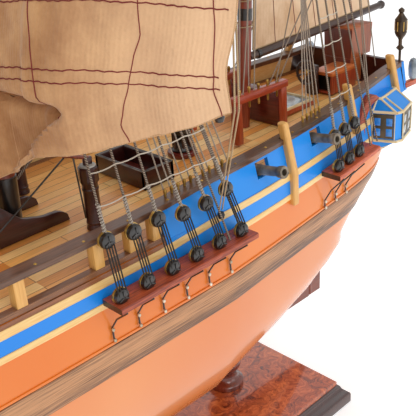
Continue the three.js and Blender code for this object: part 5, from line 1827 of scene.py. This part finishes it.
def burl(name, light, middle, dark):
    """Burl veneer under thick gloss varnish."""
    finish, tree, shader = start_finish(name, 0.22, 0.9)
    shader.inputs["Coat Roughness"].default_value = 0.04
    place = add_node(tree, "TexCoord").outputs["Object"]
    warp = add_node(tree, "TexNoise", {"Vector": place, "Scale": 26, "Detail": 3})
    warped = warp.outputs["Color"]
    moved = add_node(tree, "VectorMath", {0: place, 1: warped, 2: warped}, operation="MULTIPLY_ADD")
    swirl = add_node(tree, "TexNoise", {
        "Vector": moved.outputs[0], "Scale": 9, "Detail": 9, "Roughness": 0.72, "Distortion": 1.2})
    tones = add_node(tree, "ValToRGB", {"Fac": swirl.outputs[0]})
    colour_stops(tones, (0.36, dark), (0.66, light), (0.5, middle))
    tree.links.new(tones.outputs["Color"], shader.inputs["Base Color"])
    return finish


PLINTH_VENEER = burl("rosewood burl veneer, gloss", "#E07C42", "#B05228", "#561F10")
PLINTH_EDGE = wood("dark plinth moulding, gloss", "#4A2A24", "#2A1614", roughness=0.25, coat=0.8)


def rectangle(grow, z):
    x, y = 239 + grow, 66 + grow
    return [(-x, y, z), (x, y, z), (x, -y, z), (-x, -y, z)]


EDGE = [(8, 0), (8, 7), (7.4, 8.4), (6, 9.6), (4.2, 10.8), (3, 12.4), (2.2, 14.6), (1.6, 15.6), (0, 16.4)]
BOARD = [(0, 16.3), (0, 19.2), (-0.3, 19.8), (-0.8, 20)]
parts = [painted(swept_board("part", [rectangle(grow, z) for grow, z in profile], 50), finish)
         for profile, finish in ((EDGE, PLINTH_EDGE), (BOARD, PLINTH_VENEER))]
fitting("veneered_plinth", "plinth_veneer", "plinth", parts)
PEDESTAL_WOOD = wood("turned mahogany, gloss", "#8A3A24", "#4A1A10", along="Z", roughness=0.25, coat=0.7)
TURNING = [(14, 20.3), (14, 23.6), (13.4, 24.4), (11, 25.2), (9.4, 26.6), (8.4, 28.6), (8, 30.4),
           (8.6, 32.6), (10.4, 35), (11.8, 37.2), (12.5, 39.6), (12.2, 41.4), (10.6, 43.4), (8.6, 44.8),
           (8, 45.6), (9, 46.4), (9.5, 48), (9.5, 51.7)]
for x, node in ((-182, "pedestal_aft"), (182, "pedestal_fore")):
    parts = [turned(TURNING, (x, 0, 0), PEDESTAL_WOOD, sides=48)]
    for y in (-5.6, 5.6):
        parts.append(block((x - 8.4, y - 2.2, 50.5), (x + 8.4, y + 2.2, 57), PEDESTAL_WOOD, 0.5))
    fitting(node + "_turned", "pedestal_wood", node, parts)
for node in ("keel_and_stem", "rudder"):
    for slot in bpy.data.objects[node].material_slots:
        slot.material = KEEL_WOOD
print("plinth made")

# %% [markdown]
# The floor is a big plane under the plinth. Paper as white as the photograph's is lit a
# little from within, so that it stays white where the plinth's shadow fades.

# %% The floor
bpy.ops.mesh.primitive_plane_add(size=8, location=(0, 0, -0.0003))
floor = bpy.context.object
floor.name = "floor"
paper, _, paper_shader = start_finish("lit white paper", 0.9, colour="#FFFFFF")
paper_shader.inputs["Emission Color"].default_value = (1, 1, 1, 1)
paper_shader.inputs["Emission Strength"].default_value = 0.3
floor.data.materials.append(paper)
